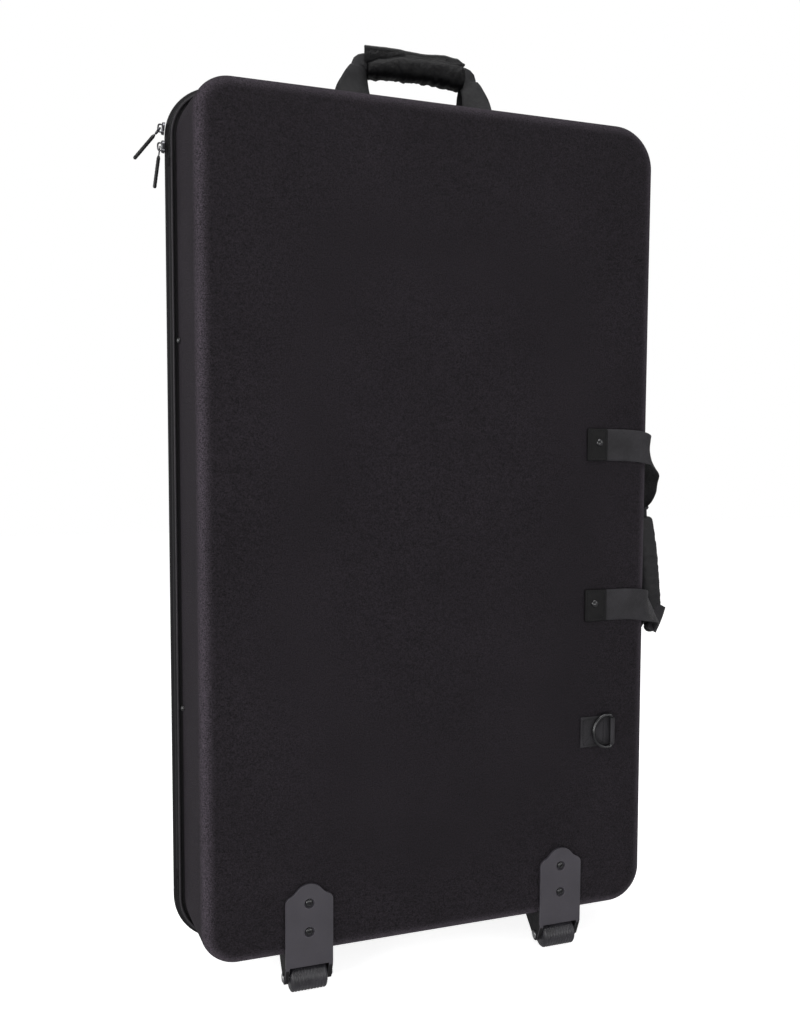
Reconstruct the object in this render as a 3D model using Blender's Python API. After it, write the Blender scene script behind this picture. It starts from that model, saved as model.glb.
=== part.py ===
"""Upright hard-shell carry case on two rollers, as an assembly of separate pieces.

Lengths are metres and +Z is up. The pieces are modelled in the case's own coordinates: X to the right,
Y away from the front face, Z up, zero at the middle of the zip line. The empty "case_frame" then stands
the whole case on the floor, with the frame's zero in the middle of its footprint.
"""

from math import cos, pi, radians, sin, sqrt

import bmesh
import bpy
from mathutils import Vector

# ---- driving dimensions --------------------------------------------------------------------------
HALF_W = 0.2878         # half the width over the zip band
HALF_H = 0.4876         # half the height over the zip band
FRONT_D = 0.1037        # zip line to the front face
BACK_D = 0.066          # zip line to the back face
BAND_R = 0.0605         # corner radius of the zip band
BAND_D = 0.0072         # depth of each half of the zip band
GROOVE = 0.0119         # step from the band in to the shell wall
DRAFT = 0.122           # inset of the shell wall per metre of depth
EDGE_R = 0.018          # round edge between wall and face
WALL = 0.0045           # thickness of the moulded shells
GAP = 0.0003            # air between touching pieces

LINING_SIDE_GAP = 0.001
LINING_FACE_GAP = 0.004
LINING_T = 0.0025

ARC_STEPS = 5           # edges in each corner of the case
EDGE_STEPS = 4          # edges in the round between wall and face

FLOOR = -0.5070         # the floor, in the case's coordinates
FOOTPRINT_X = 0.0140    # middle of the footprint, in the case's coordinates
FOOTPRINT_Y = -0.0188

# zip
CHAIN_HALF = 0.0015     # how far each half of the zip chain reaches from the zip line
CHAIN_IN = (0.0006, 0.004)
ZIP_END_Z = 0.405       # end of the zip chain on the hinge side, above and below the middle
TAPE_LOW_Z = 0.398      # lower end of the fixed tape that the sliders park on
TAPE_CLEAR = 0.0012     # room at its other end, which the lid's chain swings past
SLIDER_L = 0.012
SLIDER_W = 0.009
SLIDER_T = 0.0036
BAIL_N = 0.0049         # pull pivot above the band
RING_R = 0.0042
RING_WIRE = 0.0008
PULL_L = 0.036
PULL_R = 0.002
PULL_TIP_R = 0.0012
UPPER_SLIDER_ARC = radians(7.2)
LOWER_SLIDER_Z = 0.4154
UPPER_PULL_TILT = radians(38)
LOWER_PULL_TILT = radians(8)

# wheel brackets
BRACKET_X = 0.1515      # half the distance between the two brackets
BRACKET_W = 0.0525
PLATE_T = 0.003
PLATE_TOP_Z = -0.3835
ARCH_R = 0.0175
SHOULDER_Z = -0.4030
WINDOW_Z = -0.4745       # lower edge of the plate, over the roller
HOUSING_TOP_Z = -0.445
SCREW_ZS = (-0.4050, -0.4368)
ROLLER_R = 0.0155
ROLLER_W = 0.041
ROLLER_SIDE_GAP = 0.0013
ROLLER_SIDES = 20
AXLE_R = 0.003
AXLE_HEAD_R = 0.0045
AXLE_HEAD_T = 0.0015
BORE_CLEAR = 0.0004
SCREW_R = 0.002
SCREW_HEAD_R = 0.0048
BACKING_HALF_W = 0.020
BACKING_Z = (-0.4415, -0.3960)
BACKING_T = 0.0025
ROLLER_Y = -0.0930
ROLLER_Z = FLOOR + ROLLER_R
CHEEK_BACK_Y = -0.060

# webbing and handles
WEB_T = 0.0018
PATCH_T = 0.003
# (height of the middle, left edge, right edge, rivet) of the upper and the lower patch
SIDE_PATCHES = ((0.0930, 0.1788, 0.2049, 0.1939), (-0.0960, 0.1788, 0.2070, 0.1909))
PATCH_H = 0.0377
TOP_TAB_X = 0.0765
RIVET_R = 0.0045
SHANK_R = 0.0019

RING_TAB_X = 0.1757
D_RING_Z = -0.2473
D_BAR_X = 0.2152
D_WIRE = 0.002
D_HALF = 0.0196
D_REACH = 0.0235
BACK_D_RING_Z = 0.2473

WALL_RIVET_Y = 0.0156
WALL_RIVET_Z = 0.2045

COLOURS = {
    "shell_fabric": (0.018, 0.017, 0.020, 0.85, 0.0),
    "lining": (0.035, 0.035, 0.037, 0.95, 0.0),
    "zip_tape": (0.016, 0.016, 0.018, 0.80, 0.0),
    "zip_chain": (0.010, 0.010, 0.011, 0.45, 0.0),
    "slider_metal": (0.42, 0.42, 0.44, 0.25, 1.0),
    "pull_rubber": (0.035, 0.035, 0.038, 0.55, 0.0),
    "bracket_plastic": (0.065, 0.063, 0.070, 0.50, 0.0),
    "roller_rubber": (0.050, 0.050, 0.054, 0.45, 0.0),
    "steel": (0.50, 0.50, 0.51, 0.30, 1.0),
    "black_steel": (0.050, 0.050, 0.055, 0.35, 1.0),
    "webbing": (0.030, 0.030, 0.033, 0.60, 0.0),
    "grip_fabric": (0.020, 0.020, 0.022, 0.70, 0.0),
    "patch_leather": (0.018, 0.018, 0.019, 0.50, 0.0),
    "foot_rubber": (0.030, 0.030, 0.032, 0.70, 0.0),
}


# ---- helpers -------------------------------------------------------------------------------------
def material(name):
    made = bpy.data.materials.get(name)
    if made:
        return made
    red, green, blue, rough, metal = COLOURS[name]
    made = bpy.data.materials.new(name)
    made.use_nodes = True
    shader = made.node_tree.nodes["Principled BSDF"]
    shader.inputs["Base Color"].default_value = (red, green, blue, 1)
    shader.inputs["Roughness"].default_value = rough
    shader.inputs["Metallic"].default_value = metal
    return made


def pivot(name, point, parent):
    """An empty at a point given in the case's coordinates, which pieces and other pivots hang from."""
    empty = bpy.data.objects.new(name, None)
    bpy.context.scene.collection.objects.link(empty)
    at = Vector(point)
    empty["case_point"] = at
    if parent:
        empty.parent = parent
        at = at - Vector(parent["case_point"])
    empty.location = at
    return empty


def solid(name, points, faces, finish, parent, smooth=False):
    """A closed piece from points in the case's coordinates, hung from a pivot."""
    shape = bmesh.new()
    start = Vector(parent["case_point"])
    corners = [shape.verts.new(Vector(p) - start) for p in points]
    for face in faces:
        shape.faces.new([corners[i] for i in face])
    bmesh.ops.recalc_face_normals(shape, faces=shape.faces)
    mesh = bpy.data.meshes.new(name)
    shape.to_mesh(mesh)
    shape.free()
    mesh.materials.append(material(finish))
    if smooth:
        mesh.shade_smooth()
        mesh.set_sharp_from_angle(angle=radians(40))
    piece = bpy.data.objects.new(name, mesh)
    piece.parent = parent
    bpy.context.scene.collection.objects.link(piece)
    return piece


def loft(rows, round_rows=True, round_columns=False):
    """Points and faces of a skin over rows of points. A row is a loop if round_rows, and the skin runs
    from the last row back to the first if round_columns. Open ends are capped."""
    count = len(rows[0])
    points = [p for row in rows for p in row]
    faces = []
    row_pairs = len(rows) if round_columns else len(rows) - 1
    column_pairs = count if round_rows else count - 1
    for i in range(row_pairs):
        here, there = i * count, (i + 1) % len(rows) * count
        for j in range(column_pairs):
            k = (j + 1) % count
            faces.append((here + j, here + k, there + k, there + j))
    if not round_columns:
        faces.append(tuple(range(count)))
        faces.append(tuple((len(rows) - 1) * count + j for j in range(count)))
    if not round_rows:
        faces.append(tuple(i * count for i in range(len(rows))))
        faces.append(tuple(i * count + count - 1 for i in range(len(rows))))
    return points, faces


def turned(profile, centre, axis, side, steps, turn=0.0):
    """Rows of a shape turned about an axis. Profile points are (distance along the axis, radius)."""
    axis, side = Vector(axis).normalized(), Vector(side).normalized()
    up = axis.cross(side)
    rows = []
    for along, radius in profile:
        row = []
        for k in range(steps):
            angle = 2 * pi * (k + turn) / steps
            row.append(Vector(centre) + axis * along + (side * cos(angle) + up * sin(angle)) * radius)
        rows.append(row)
    return rows


def ribbon(stations, thickness):
    """Rows of a strap. Each station is (centre, width direction, width)."""
    rows = []
    last = len(stations) - 1
    for i, (centre, across, width) in enumerate(stations):
        before, after = Vector(stations[max(i - 1, 0)][0]), Vector(stations[min(i + 1, last)][0])
        across = Vector(across).normalized()
        normal = (after - before).cross(across).normalized()
        wide, thick = across * width / 2, normal * thickness / 2
        ends = ((-1, -1), (1, -1), (1, 1), (-1, 1))
        rows.append([Vector(centre) + s * wide + t * thick for s, t in ends])
    return rows


def helper_object(name, points, faces):
    """A hidden shape that another piece's Boolean uses."""
    shape = bmesh.new()
    corners = [shape.verts.new(p) for p in points]
    for face in faces:
        shape.faces.new([corners[i] for i in face])
    bmesh.ops.recalc_face_normals(shape, faces=shape.faces)
    mesh = bpy.data.meshes.new(name)
    shape.to_mesh(mesh)
    shape.free()
    piece = bpy.data.objects.new(name, mesh)
    piece.parent = case_frame
    piece.hide_render = True
    piece.display_type = "WIRE"
    bpy.context.scene.collection.objects.link(piece)
    return piece


def combine(piece, other, operation):
    modifier = piece.modifiers.new(operation.lower() + "_" + other.name, "BOOLEAN")
    modifier.operation = operation
    modifier.object = other


def drill(pieces, name, start, axis, length, radius):
    """One round hole through several pieces, as one hidden cutter."""
    rows = turned([(0, radius), (length, radius)], start, axis, (0, 0, 1) if axis[2] == 0 else (1, 0, 0), 8)
    cutter = helper_object(name, *loft(rows))
    for piece in pieces:
        combine(piece, cutter, "DIFFERENCE")


# ---- outlines of the case ------------------------------------------------------------------------
def corner(cx, cz, radius, start):
    """Points of a quarter circle in the plane of the case, clockwise from an angle."""
    turns = [start - pi / 2 * k / ARC_STEPS for k in range(ARC_STEPS + 1)]
    return [(cx + radius * cos(a), cz + radius * sin(a)) for a in turns]


def outline(inset, y):
    """Loop round the case at a depth y, clockwise as seen from the front, from the top left corner."""
    radius = BAND_R - inset
    w, h = HALF_W - BAND_R, HALF_H - BAND_R
    flat = corner(-w, h, radius, pi) + corner(w, h, radius, pi / 2)
    flat += corner(w, -h, radius, 0) + corner(-w, -h, radius, -pi / 2)
    return [(x, y, z) for x, z in flat]


def wall_inset(depth):
    """Inset of the straight part of a shell wall at a distance from the zip line."""
    return GROOVE + DRAFT * (depth - BAND_D)


def shell_profile(depth, thickness):
    """(inset, depth) from the rim to the face, for a surface that lies inside the shell's outer surface
    by a thickness."""
    edge_r = EDGE_R - thickness
    edge_start = depth - EDGE_R
    stations = [(wall_inset(BAND_D) + thickness, BAND_D)]
    for k in range(EDGE_STEPS + 1):
        turn = pi / 2 * k / EDGE_STEPS
        more = edge_r * (1 - cos(turn))
        inset = wall_inset(edge_start) + thickness + more
        stations.append((inset, edge_start + edge_r * sin(turn)))
    return stations


def shell(name, depth, side, parent):
    outer = [outline(inset, side * d) for inset, d in shell_profile(depth, 0)]
    inner = [outline(inset, side * d) for inset, d in shell_profile(depth, WALL)]
    return solid(name, *loft(outer[::-1] + inner), "shell_fabric", parent, smooth=True)


def lining(name, depth, side, parent):
    """Padded tray inside a shell, with room behind its face for the fixings."""
    inside = WALL + LINING_SIDE_GAP
    face = depth - (LINING_FACE_GAP - LINING_SIDE_GAP)

    def skin(thickness):
        loops = shell_profile(face, thickness)
        loops[0] = (loops[0][0], BAND_D + GAP)
        return [outline(inset, side * d) for inset, d in loops]

    rows = skin(inside)[::-1] + skin(inside + LINING_T)
    return solid(name, *loft(rows), "lining", parent, smooth=True)


# ---- scene ---------------------------------------------------------------------------------------
for old in list(bpy.data.objects):
    bpy.data.objects.remove(old)

ARC_X, ARC_Z = -HALF_W + BAND_R, HALF_H - BAND_R
HINGE_X = -HALF_W - GAP

case_frame = pivot("case_frame", (0, 0, 0), None)
case_frame.location = (-FOOTPRINT_X, -FOOTPRINT_Y, -FLOOR)
lid = pivot("lid_pivot", (HINGE_X, 0, 0), case_frame)

front_shell = shell("front_shell", FRONT_D, -1, case_frame)
back_shell = shell("back_shell", BACK_D, 1, lid)
front_lining = lining("front_lining", FRONT_D, -1, case_frame)
back_lining = lining("back_lining", BACK_D, 1, lid)


# ---- zip bands, chains and hinge -----------------------------------------------------------------
def section(inner, outer, near, far):
    """The four corners of a band's section as (inset, distance from the zip line)."""
    return ((inner, near), (outer, near), (outer, far), (inner, far))


BAND_SECTION = section(0, GROOVE + WALL, CHAIN_HALF + GAP, BAND_D - GAP)
CHAIN_SECTION = section(*CHAIN_IN, GAP / 2, CHAIN_HALF)


def part_loop(inset, y, start, end):
    """Open run round the band, from the hinge side's top (start) to its bottom (end).

    start is a height on the hinge side, or None to begin past the top left corner; end is a height."""
    loop = outline(inset, y)
    lead = [] if start is None else [(-HALF_W + inset, y, start)] + loop[:ARC_STEPS]
    return lead + loop[ARC_STEPS:] + [(-HALF_W + inset, y, end)]


def full_band(name, side, parent):
    rows = [outline(inset, side * d) for inset, d in BAND_SECTION]
    return solid(name, *loft(rows, round_columns=True), "zip_tape", parent)


def open_band(name, sizes, side, start, end, finish, parent):
    rows = [part_loop(inset, side * d, start, end) for inset, d in sizes]
    return solid(name, *loft(rows, round_rows=False, round_columns=True), finish, parent)


full_band("front_zip_band", -1, case_frame)
open_band("back_zip_band", BAND_SECTION, 1, None, TAPE_LOW_Z - GAP, "zip_tape", lid)
open_band("front_zip_chain", CHAIN_SECTION, -1, ZIP_END_Z, -ZIP_END_Z, "zip_chain", case_frame)
open_band("back_zip_chain", CHAIN_SECTION, 1, None, -ZIP_END_Z, "zip_chain", lid)

tape_rows = []
for inset, d in section(0, GROOVE, GAP, BAND_D - GAP):
    run = [(-HALF_W + inset, d, TAPE_LOW_Z)] + outline(inset, d)[:ARC_STEPS + 1]
    run[-1] = (ARC_X - TAPE_CLEAR, d, HALF_H - inset)
    tape_rows.append(run)
solid("zip_tape_end", *loft(tape_rows, round_rows=False, round_columns=True), "zip_tape", case_frame)

HINGE_IN = GROOVE + WALL + GAP
HINGE_TAPE_T, HINGE_TAPE_Y, HINGE_TAPE_Z = 0.001, 0.006, 0.395
hinge_rows = []
for inset, y in section(HINGE_IN, HINGE_IN + HINGE_TAPE_T, -HINGE_TAPE_Y, HINGE_TAPE_Y):
    hinge_rows.append([(-HALF_W + inset, y, z) for z in (-HINGE_TAPE_Z, 0, HINGE_TAPE_Z)])
solid("hinge_tape", *loft(hinge_rows, round_rows=False, round_columns=True), "zip_tape", case_frame)


# ---- sliders and pulls ---------------------------------------------------------------------------
def bail_outline():
    """The slider's arch as (along the slider, height above the band)."""
    half = [(0.0045, 0.0030), (0.0045, 0.0065), (0.0030, 0.0076)]
    inner = [(0.0026, 0.0062), (0.0032, 0.0056), (0.0032, 0.0030)]
    mirrored_outer = [(-t, n) for t, n in half]
    mirrored_inner = [(-t, n) for t, n in inner]
    return mirrored_outer + half[::-1] + inner[::-1] + mirrored_inner


def slider(label, foot, along, out, tilt):
    """Slider body with its bail, the ring through the bail and the moulded pull below it."""
    foot, along, out = Vector(foot), Vector(along), Vector(out)
    run = pivot("zip_slider_" + label + "_pivot", (ARC_X, 0, ARC_Z), case_frame)

    def at(t, y, n):
        return foot + along * t + Vector((0, y, 0)) + out * n

    half, wide = SLIDER_L / 2, SLIDER_W / 2
    taper = 0.6 * wide
    left = ((-half, -taper), (-0.4 * half, -wide), (half, -wide))
    base = left + tuple((t, -y) for t, y in reversed(left))
    rows = [[at(t, y, GAP) for t, y in base], [at(0.96 * t, 0.92 * y, SLIDER_T) for t, y in base]]
    body = solid("zip_slider_" + label, *loft(rows), "slider_metal", run)
    bail_rows = [[at(t, y, n) for t, n in bail_outline()] for y in (-0.0012, 0.0012)]
    combine(body, helper_object("bail_" + label, *loft(bail_rows)), "UNION")

    hang = at(0, 0, BAIL_N)
    swing = pivot("zip_pull_" + label + "_pivot", hang, run)
    down = Vector((-sin(tilt), 0, -cos(tilt)))
    face = Vector((0, 1, 0)).cross(down)
    ring_rows = []
    for i in range(12):
        a = 2 * pi * i / 12
        spoke = down * -cos(a) + Vector((0, 1, 0)) * sin(a)
        middle = hang + down * RING_R + spoke * RING_R
        spokes = [spoke * cos(pi * k / 3) + face * sin(pi * k / 3) for k in range(6)]
        ring_rows.append([middle + s * RING_WIRE for s in spokes])
    solid("zip_ring_" + label, *loft(ring_rows, round_columns=True), "slider_metal", swing, smooth=True)
    start = 2 * RING_R + RING_WIRE + GAP
    end = start + PULL_L
    profile = ((start, PULL_TIP_R), (start + 0.003, PULL_R), (end - 0.002, PULL_R), (end, PULL_TIP_R))
    rows = turned(profile, hang, down, face, 8)
    solid("zip_pull_" + label, *loft(rows), "pull_rubber", swing, smooth=True)


arc_out = Vector((-cos(UPPER_SLIDER_ARC), 0, sin(UPPER_SLIDER_ARC)))
arc_along = Vector((sin(UPPER_SLIDER_ARC), 0, cos(UPPER_SLIDER_ARC)))
slider("upper", Vector((ARC_X, 0, ARC_Z)) + arc_out * BAND_R, arc_along, arc_out, UPPER_PULL_TILT)
slider("lower", (-HALF_W, 0, LOWER_SLIDER_Z), (0, 0, 1), (-1, 0, 0), LOWER_PULL_TILT)


# ---- wheel brackets ------------------------------------------------------------------------------
def plate_outline():
    """Front plate: straight sides, sloping shoulders and a wide round top, as (x, z) about its own middle."""
    half = BRACKET_W / 2
    right = [(half, WINDOW_Z), (half, SHOULDER_Z), (half - 0.0006, SHOULDER_Z + 0.0025)]
    right += [(half - 0.0022, SHOULDER_Z + 0.0050), (half - 0.0050, SHOULDER_Z + 0.0075)]
    right.append((half - 0.0088, SHOULDER_Z + 0.0103))
    for degrees in (42, 58, 74, 90):
        turn = radians(degrees)
        right.append((ARCH_R * cos(turn), PLATE_TOP_Z - ARCH_R + ARCH_R * sin(turn)))
    return right + [(-x, z) for x, z in reversed(right[:-1])]


def shell_floor(y):
    """Height of the front shell's underside at a depth y, round edge included."""
    into_edge = -y - (FRONT_D - EDGE_R)
    inset = wall_inset(min(-y, FRONT_D - EDGE_R))
    if into_edge > 0:
        inset += EDGE_R - sqrt(EDGE_R ** 2 - min(into_edge, EDGE_R) ** 2)
    return -HALF_H + inset


def bracket_side():
    """Side view of the housing, as (y, z): it fits round the shell's lower edge and carries the axle."""
    front = -FRONT_D - GAP - PLATE_T
    edge = [(front, HOUSING_TOP_Z), (front, WINDOW_Z)]
    edge += [(front + 0.0045, WINDOW_Z - 0.010), (ROLLER_Y - 0.006, ROLLER_Z - 0.0035)]
    edge += [(ROLLER_Y - 0.0025, ROLLER_Z - 0.0068), (ROLLER_Y + 0.0035, ROLLER_Z - 0.0068)]
    edge += [(ROLLER_Y + 0.0085, ROLLER_Z - 0.001), (CHEEK_BACK_Y - 0.004, -0.4735)]
    edge_start = EDGE_R - FRONT_D
    shell_line = [CHEEK_BACK_Y, (CHEEK_BACK_Y + edge_start) / 2, edge_start]
    shell_line += [edge_start - EDGE_R * share for share in (0.35, 0.62, 0.82, 0.95)]
    edge += [(y, shell_floor(y) - 2 * GAP) for y in shell_line]
    edge += [(-FRONT_D - GAP, -0.4575), (-FRONT_D - GAP, HOUSING_TOP_Z)]
    return edge


def box_rows(low, high):
    corners = ((low[0], low[2]), (high[0], low[2]), (high[0], high[2]), (low[0], high[2]))
    return [[(x, y, z) for x, z in corners] for y in (low[1], high[1])]


def wheel(label, x):
    half = BRACKET_W / 2
    rows = [[(x + s * half, y, z) for y, z in bracket_side()] for s in (-1, 1)]
    bracket = solid("wheel_bracket_" + label, *loft(rows), "bracket_plastic", case_frame)
    front = -FRONT_D - GAP - PLATE_T
    plate = [[(x + u, y, z) for u, z in plate_outline()] for y in (front, -FRONT_D - GAP)]
    combine(bracket, helper_object("plate_" + label, *loft(plate)), "UNION")
    pocket = ROLLER_W / 2 + ROLLER_SIDE_GAP
    low, high = (x - pocket, -0.112, -0.515), (x + pocket, -0.055, WINDOW_Z)
    combine(bracket, helper_object("pocket_" + label, *loft(box_rows(low, high))), "DIFFERENCE")
    drill([bracket], "axle_hole_" + label, (x - 0.03, ROLLER_Y, ROLLER_Z), (1, 0, 0), 0.06, AXLE_R + BORE_CLEAR)

    spin = pivot("roller_" + label + "_pivot", (x, ROLLER_Y, ROLLER_Z), case_frame)
    wide, bore = ROLLER_W / 2, AXLE_R + BORE_CLEAR
    flat = cos(pi / ROLLER_SIDES)
    rim = ((-wide, bore), (-wide, (ROLLER_R - 0.0025) / flat), (-wide + 0.0018, ROLLER_R / flat))
    rim += tuple((-u, r) for u, r in reversed(rim))
    rows = turned(rim, (x, ROLLER_Y, ROLLER_Z), (1, 0, 0), (0, 0, -1), ROLLER_SIDES, turn=0.5)
    solid("roller_" + label, *loft(rows, round_columns=True), "roller_rubber", spin, smooth=True)

    head = half + GAP
    pin = ((-head - AXLE_HEAD_T, AXLE_HEAD_R - 0.001), (-head - 0.8 * AXLE_HEAD_T, AXLE_HEAD_R))
    pin += ((-head, AXLE_HEAD_R), (-head, AXLE_R))
    pin += tuple((-u, r) for u, r in reversed(pin))
    rows = turned(pin, (x, ROLLER_Y, ROLLER_Z), (1, 0, 0), (0, 0, -1), 12)
    solid("axle_" + label, *loft(rows), "steel", case_frame, smooth=True)

    inner = -FRONT_D + WALL + GAP
    back_low = (x - BACKING_HALF_W, inner, BACKING_Z[0])
    back_high = (x + BACKING_HALF_W, inner + BACKING_T, BACKING_Z[1])
    backing = solid("backing_plate_" + label, *loft(box_rows(back_low, back_high)), "steel", case_frame)
    for number, z in enumerate(SCREW_ZS, 1):
        name = f"screw_{label}_{number}"
        drill([bracket, front_shell, backing], "hole_" + name, (x, -0.112, z), (0, 1, 0), 0.020, SCREW_R + 0.0005)
        head_y = front - GAP
        nut_y = inner + BACKING_T + GAP
        screw = ((head_y - 0.0022, 0.0022), (head_y - 0.0015, SCREW_HEAD_R - 0.0002))
        screw += ((head_y, SCREW_HEAD_R), (head_y, SCREW_R), (nut_y + 0.0001, SCREW_R))
        screw += ((nut_y + 0.0001, 0.0032), (nut_y + 0.0008, 0.0032))
        rows = turned(screw, (x, 0, z), (0, 1, 0), (0, 0, 1), 8)
        solid(name, *loft(rows), "black_steel", case_frame, smooth=True)


wheel("left", -BRACKET_X)
wheel("right", BRACKET_X)

# ---- rear feet -----------------------------------------------------------------------------------
FOOT_Y = (0.020, 0.048)


def rear_foot(label, x):
    """Tapered block between the back shell's underside and the floor."""
    near, far = FOOT_Y
    top_near = -HALF_H + wall_inset(near) - 2 * GAP
    top_far = -HALF_H + wall_inset(far) - 2 * GAP
    top_far += (far - BACK_D + EDGE_R) ** 2 / (2 * EDGE_R)
    wide, low = 0.021, 0.016
    top = [(x - wide, near, top_near), (x + wide, near, top_near)]
    top += [(x + wide, far, top_far), (x - wide, far, top_far)]
    near, far = near + 0.003, far - 0.004
    base = [(x - low, near, FLOOR), (x + low, near, FLOOR), (x + low, far, FLOOR), (x - low, far, FLOOR)]
    solid("rear_foot_" + label, *loft([top, base]), "foot_rubber", lid)


rear_foot("left", -BRACKET_X)
rear_foot("right", BRACKET_X)


# ---- rivets --------------------------------------------------------------------------------------
def rivet(name, point, inward, grip, parent, head=RIVET_R):
    """Domed rivet. Point is the middle of its head's underside, and grip the thickness it holds."""
    profile = [(-0.0022, 0.35 * head), (-0.0018, 0.75 * head), (-0.0008, head), (0, head), (0, SHANK_R)]
    profile += [(grip, SHANK_R), (grip, 0.0034), (grip + 0.0011, 0.0030)]
    side = (0, 0, 1)
    return solid(name, *loft(turned(profile, point, inward, side, 8)), "black_steel", parent, smooth=True)


# ---- side handle ---------------------------------------------------------------------------------
def web_width(stations, mirror):
    """Stations of a strap for the front half, or mirrored in the zip plane for the back half."""
    return [((p[0], p[1] * mirror, p[2]), (a[0], a[1] * mirror, a[2]), w) for p, a, w in stations]


SIDE_PIVOT_X = 0.2093
BAR_Y = -0.0035
GRIP_HOLLOW = 0.0225
GRIP_LIP_Y = 0.006
SIDE_BAR_W = {"front": 0.018, "back": 0.013}


def side_bar_x(z):
    """The side grip leans out towards its lower end."""
    return 0.3180 - 0.127 * z


def side_stations(depth, bar_w):
    """Front strap of the side handle: off the upper patch, turning edge-on round the case's edge, down
    through the grip and back to the lower patch. depth is that of the half it is sewn to."""
    start = SIDE_PIVOT_X + GAP
    up, out = (0, 0, 1), (1, 0, 0)
    face = depth + 0.0017
    edge_x = HALF_W - wall_inset(depth - EDGE_R)

    def back(share):
        """A depth between the strap's plane on the face and the zip line."""
        return (share - 1) * face

    return [
        ((start, -face, 0.0930), up, 0.0370),
        ((0.2320, -face, 0.0925), up, 0.0370),
        ((edge_x - 0.0165, -face, 0.0910), up, 0.0368),
        ((edge_x - 0.0035, back(0.025), 0.0885), (0.03, 0.06, 1), 0.0367),
        ((edge_x + 0.0050, back(0.13), 0.0845), (0.10, 0.50, 0.90), 0.0365),
        ((edge_x + 0.0165, back(0.27), 0.0750), (0.25, 0.80, 0.62), 0.0360),
        ((0.2960, back(0.43), 0.0615), (0.45, 0.80, 0.28), 0.0350),
        ((0.3075, back(0.61), 0.0465), (0.72, 0.62, 0.05), 0.0325),
        ((0.3145, back(0.79), 0.0305), (0.92, 0.35, 0), 0.0285),
        ((0.3165, 2.5 * BAR_Y, 0.0160), (1, 0.10, 0), 0.0225),
        ((side_bar_x(0.0020), BAR_Y, 0.0020), out, bar_w),
        ((side_bar_x(-0.0640), BAR_Y, -0.0640), out, bar_w),
        ((side_bar_x(-0.1340), BAR_Y, -0.1340), out, bar_w),
        ((0.3370, 2.5 * BAR_Y, -0.1445), (1, 0.10, 0.30), 0.0240),
        ((0.3320, back(0.74), -0.1395), (0.85, 0.30, 0.62), 0.0320),
        ((0.3185, back(0.50), -0.1290), (0.58, 0.42, 0.75), 0.0360),
        ((0.2990, back(0.28), -0.1175), (0.18, 0.42, 0.88), 0.0367),
        ((edge_x + 0.0110, back(0.115), -0.1060), (-0.08, 0.22, 1), 0.0369),
        ((edge_x - 0.0030, back(0.025), -0.1000), (0, 0.05, 1), 0.0370),
        ((edge_x - 0.0183, -face, -0.0970), up, 0.0370),
        ((0.2320, -face, -0.0960), up, 0.0370),
        ((start, -face, -0.0960), up, 0.0370),
    ]


def u_section(outer):
    """A padded wrap's section, open towards +Y so that the back strap can leave it, as (across, depth)."""
    o, i = outer / 2, GRIP_HOLLOW / 2
    cut_o, cut_i = 0.30 * o, 0.20 * i
    outside = [(o, GRIP_LIP_Y), (o, cut_o - o), (o - cut_o, -o)]
    inside = [(i - cut_i, -i), (i, cut_i - i), (i, GRIP_LIP_Y)]
    outside += [(-u, v) for u, v in reversed(outside)]
    return outside + [(-u, v) for u, v in reversed(inside)] + inside


for half, side, depth, parent in (("front", -1, FRONT_D, case_frame), ("back", 1, BACK_D, lid)):
    face = side * (depth + GAP)
    for where, (z, x0, x1, rivet_x) in zip(("upper", "lower"), SIDE_PATCHES):
        low, high = z - PATCH_H / 2, z + PATCH_H / 2
        lows = ((x0, low), (x1, low), (x1, high), (x0, high))
        rows = [[(x, face, h) for x, h in lows], [(x, face + side * PATCH_T, h) for x, h in lows]]
        patch = solid(f"side_patch_{half}_{where}", *loft(rows), "patch_leather", parent)
        middle = z + 0.0025
        outside = face + side * (PATCH_T + GAP)
        shell_piece = front_shell if side < 0 else back_shell
        start = (rivet_x, outside + side * 0.002, middle)
        hole = f"hole_side_{half}_{where}"
        drill([patch, shell_piece], hole, start, (0, -side, 0), 0.016, SHANK_R + 0.0004)
        rivet(f"side_rivet_{half}_{where}", (rivet_x, outside, middle), (0, -side, 0),
              PATCH_T + WALL + 3 * GAP, parent)
    swing = pivot(f"side_handle_{half}_pivot", (SIDE_PIVOT_X, side * (depth + 0.0017), 0), parent)
    stations = web_width(side_stations(depth, SIDE_BAR_W[half]), -side)
    solid(f"side_strap_{half}", *loft(ribbon(stations, WEB_T)), "webbing", swing)
    if side < 0:
        rows = []
        for z, grow in ((-0.128, 0.90), (-0.112, 1.0), (-0.064, 1.06), (-0.016, 1.0), (-0.001, 0.90)):
            ring = u_section(0.031 * grow)
            rows.append([(side_bar_x(z) + 0.0010 + u, v, z) for u, v in ring])
        solid("side_grip", *loft(rows), "grip_fabric", swing)


# ---- top handle ----------------------------------------------------------------------------------
TOP_PIVOT_Y = 0.0155
TOP_BAR_Z = 0.534
TOP_GRIP_HALF = 0.0595
TOP_FOOT_LIFT = 0.0040
TOP_BAR_W = {"front": 0.019, "back": 0.013}


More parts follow.
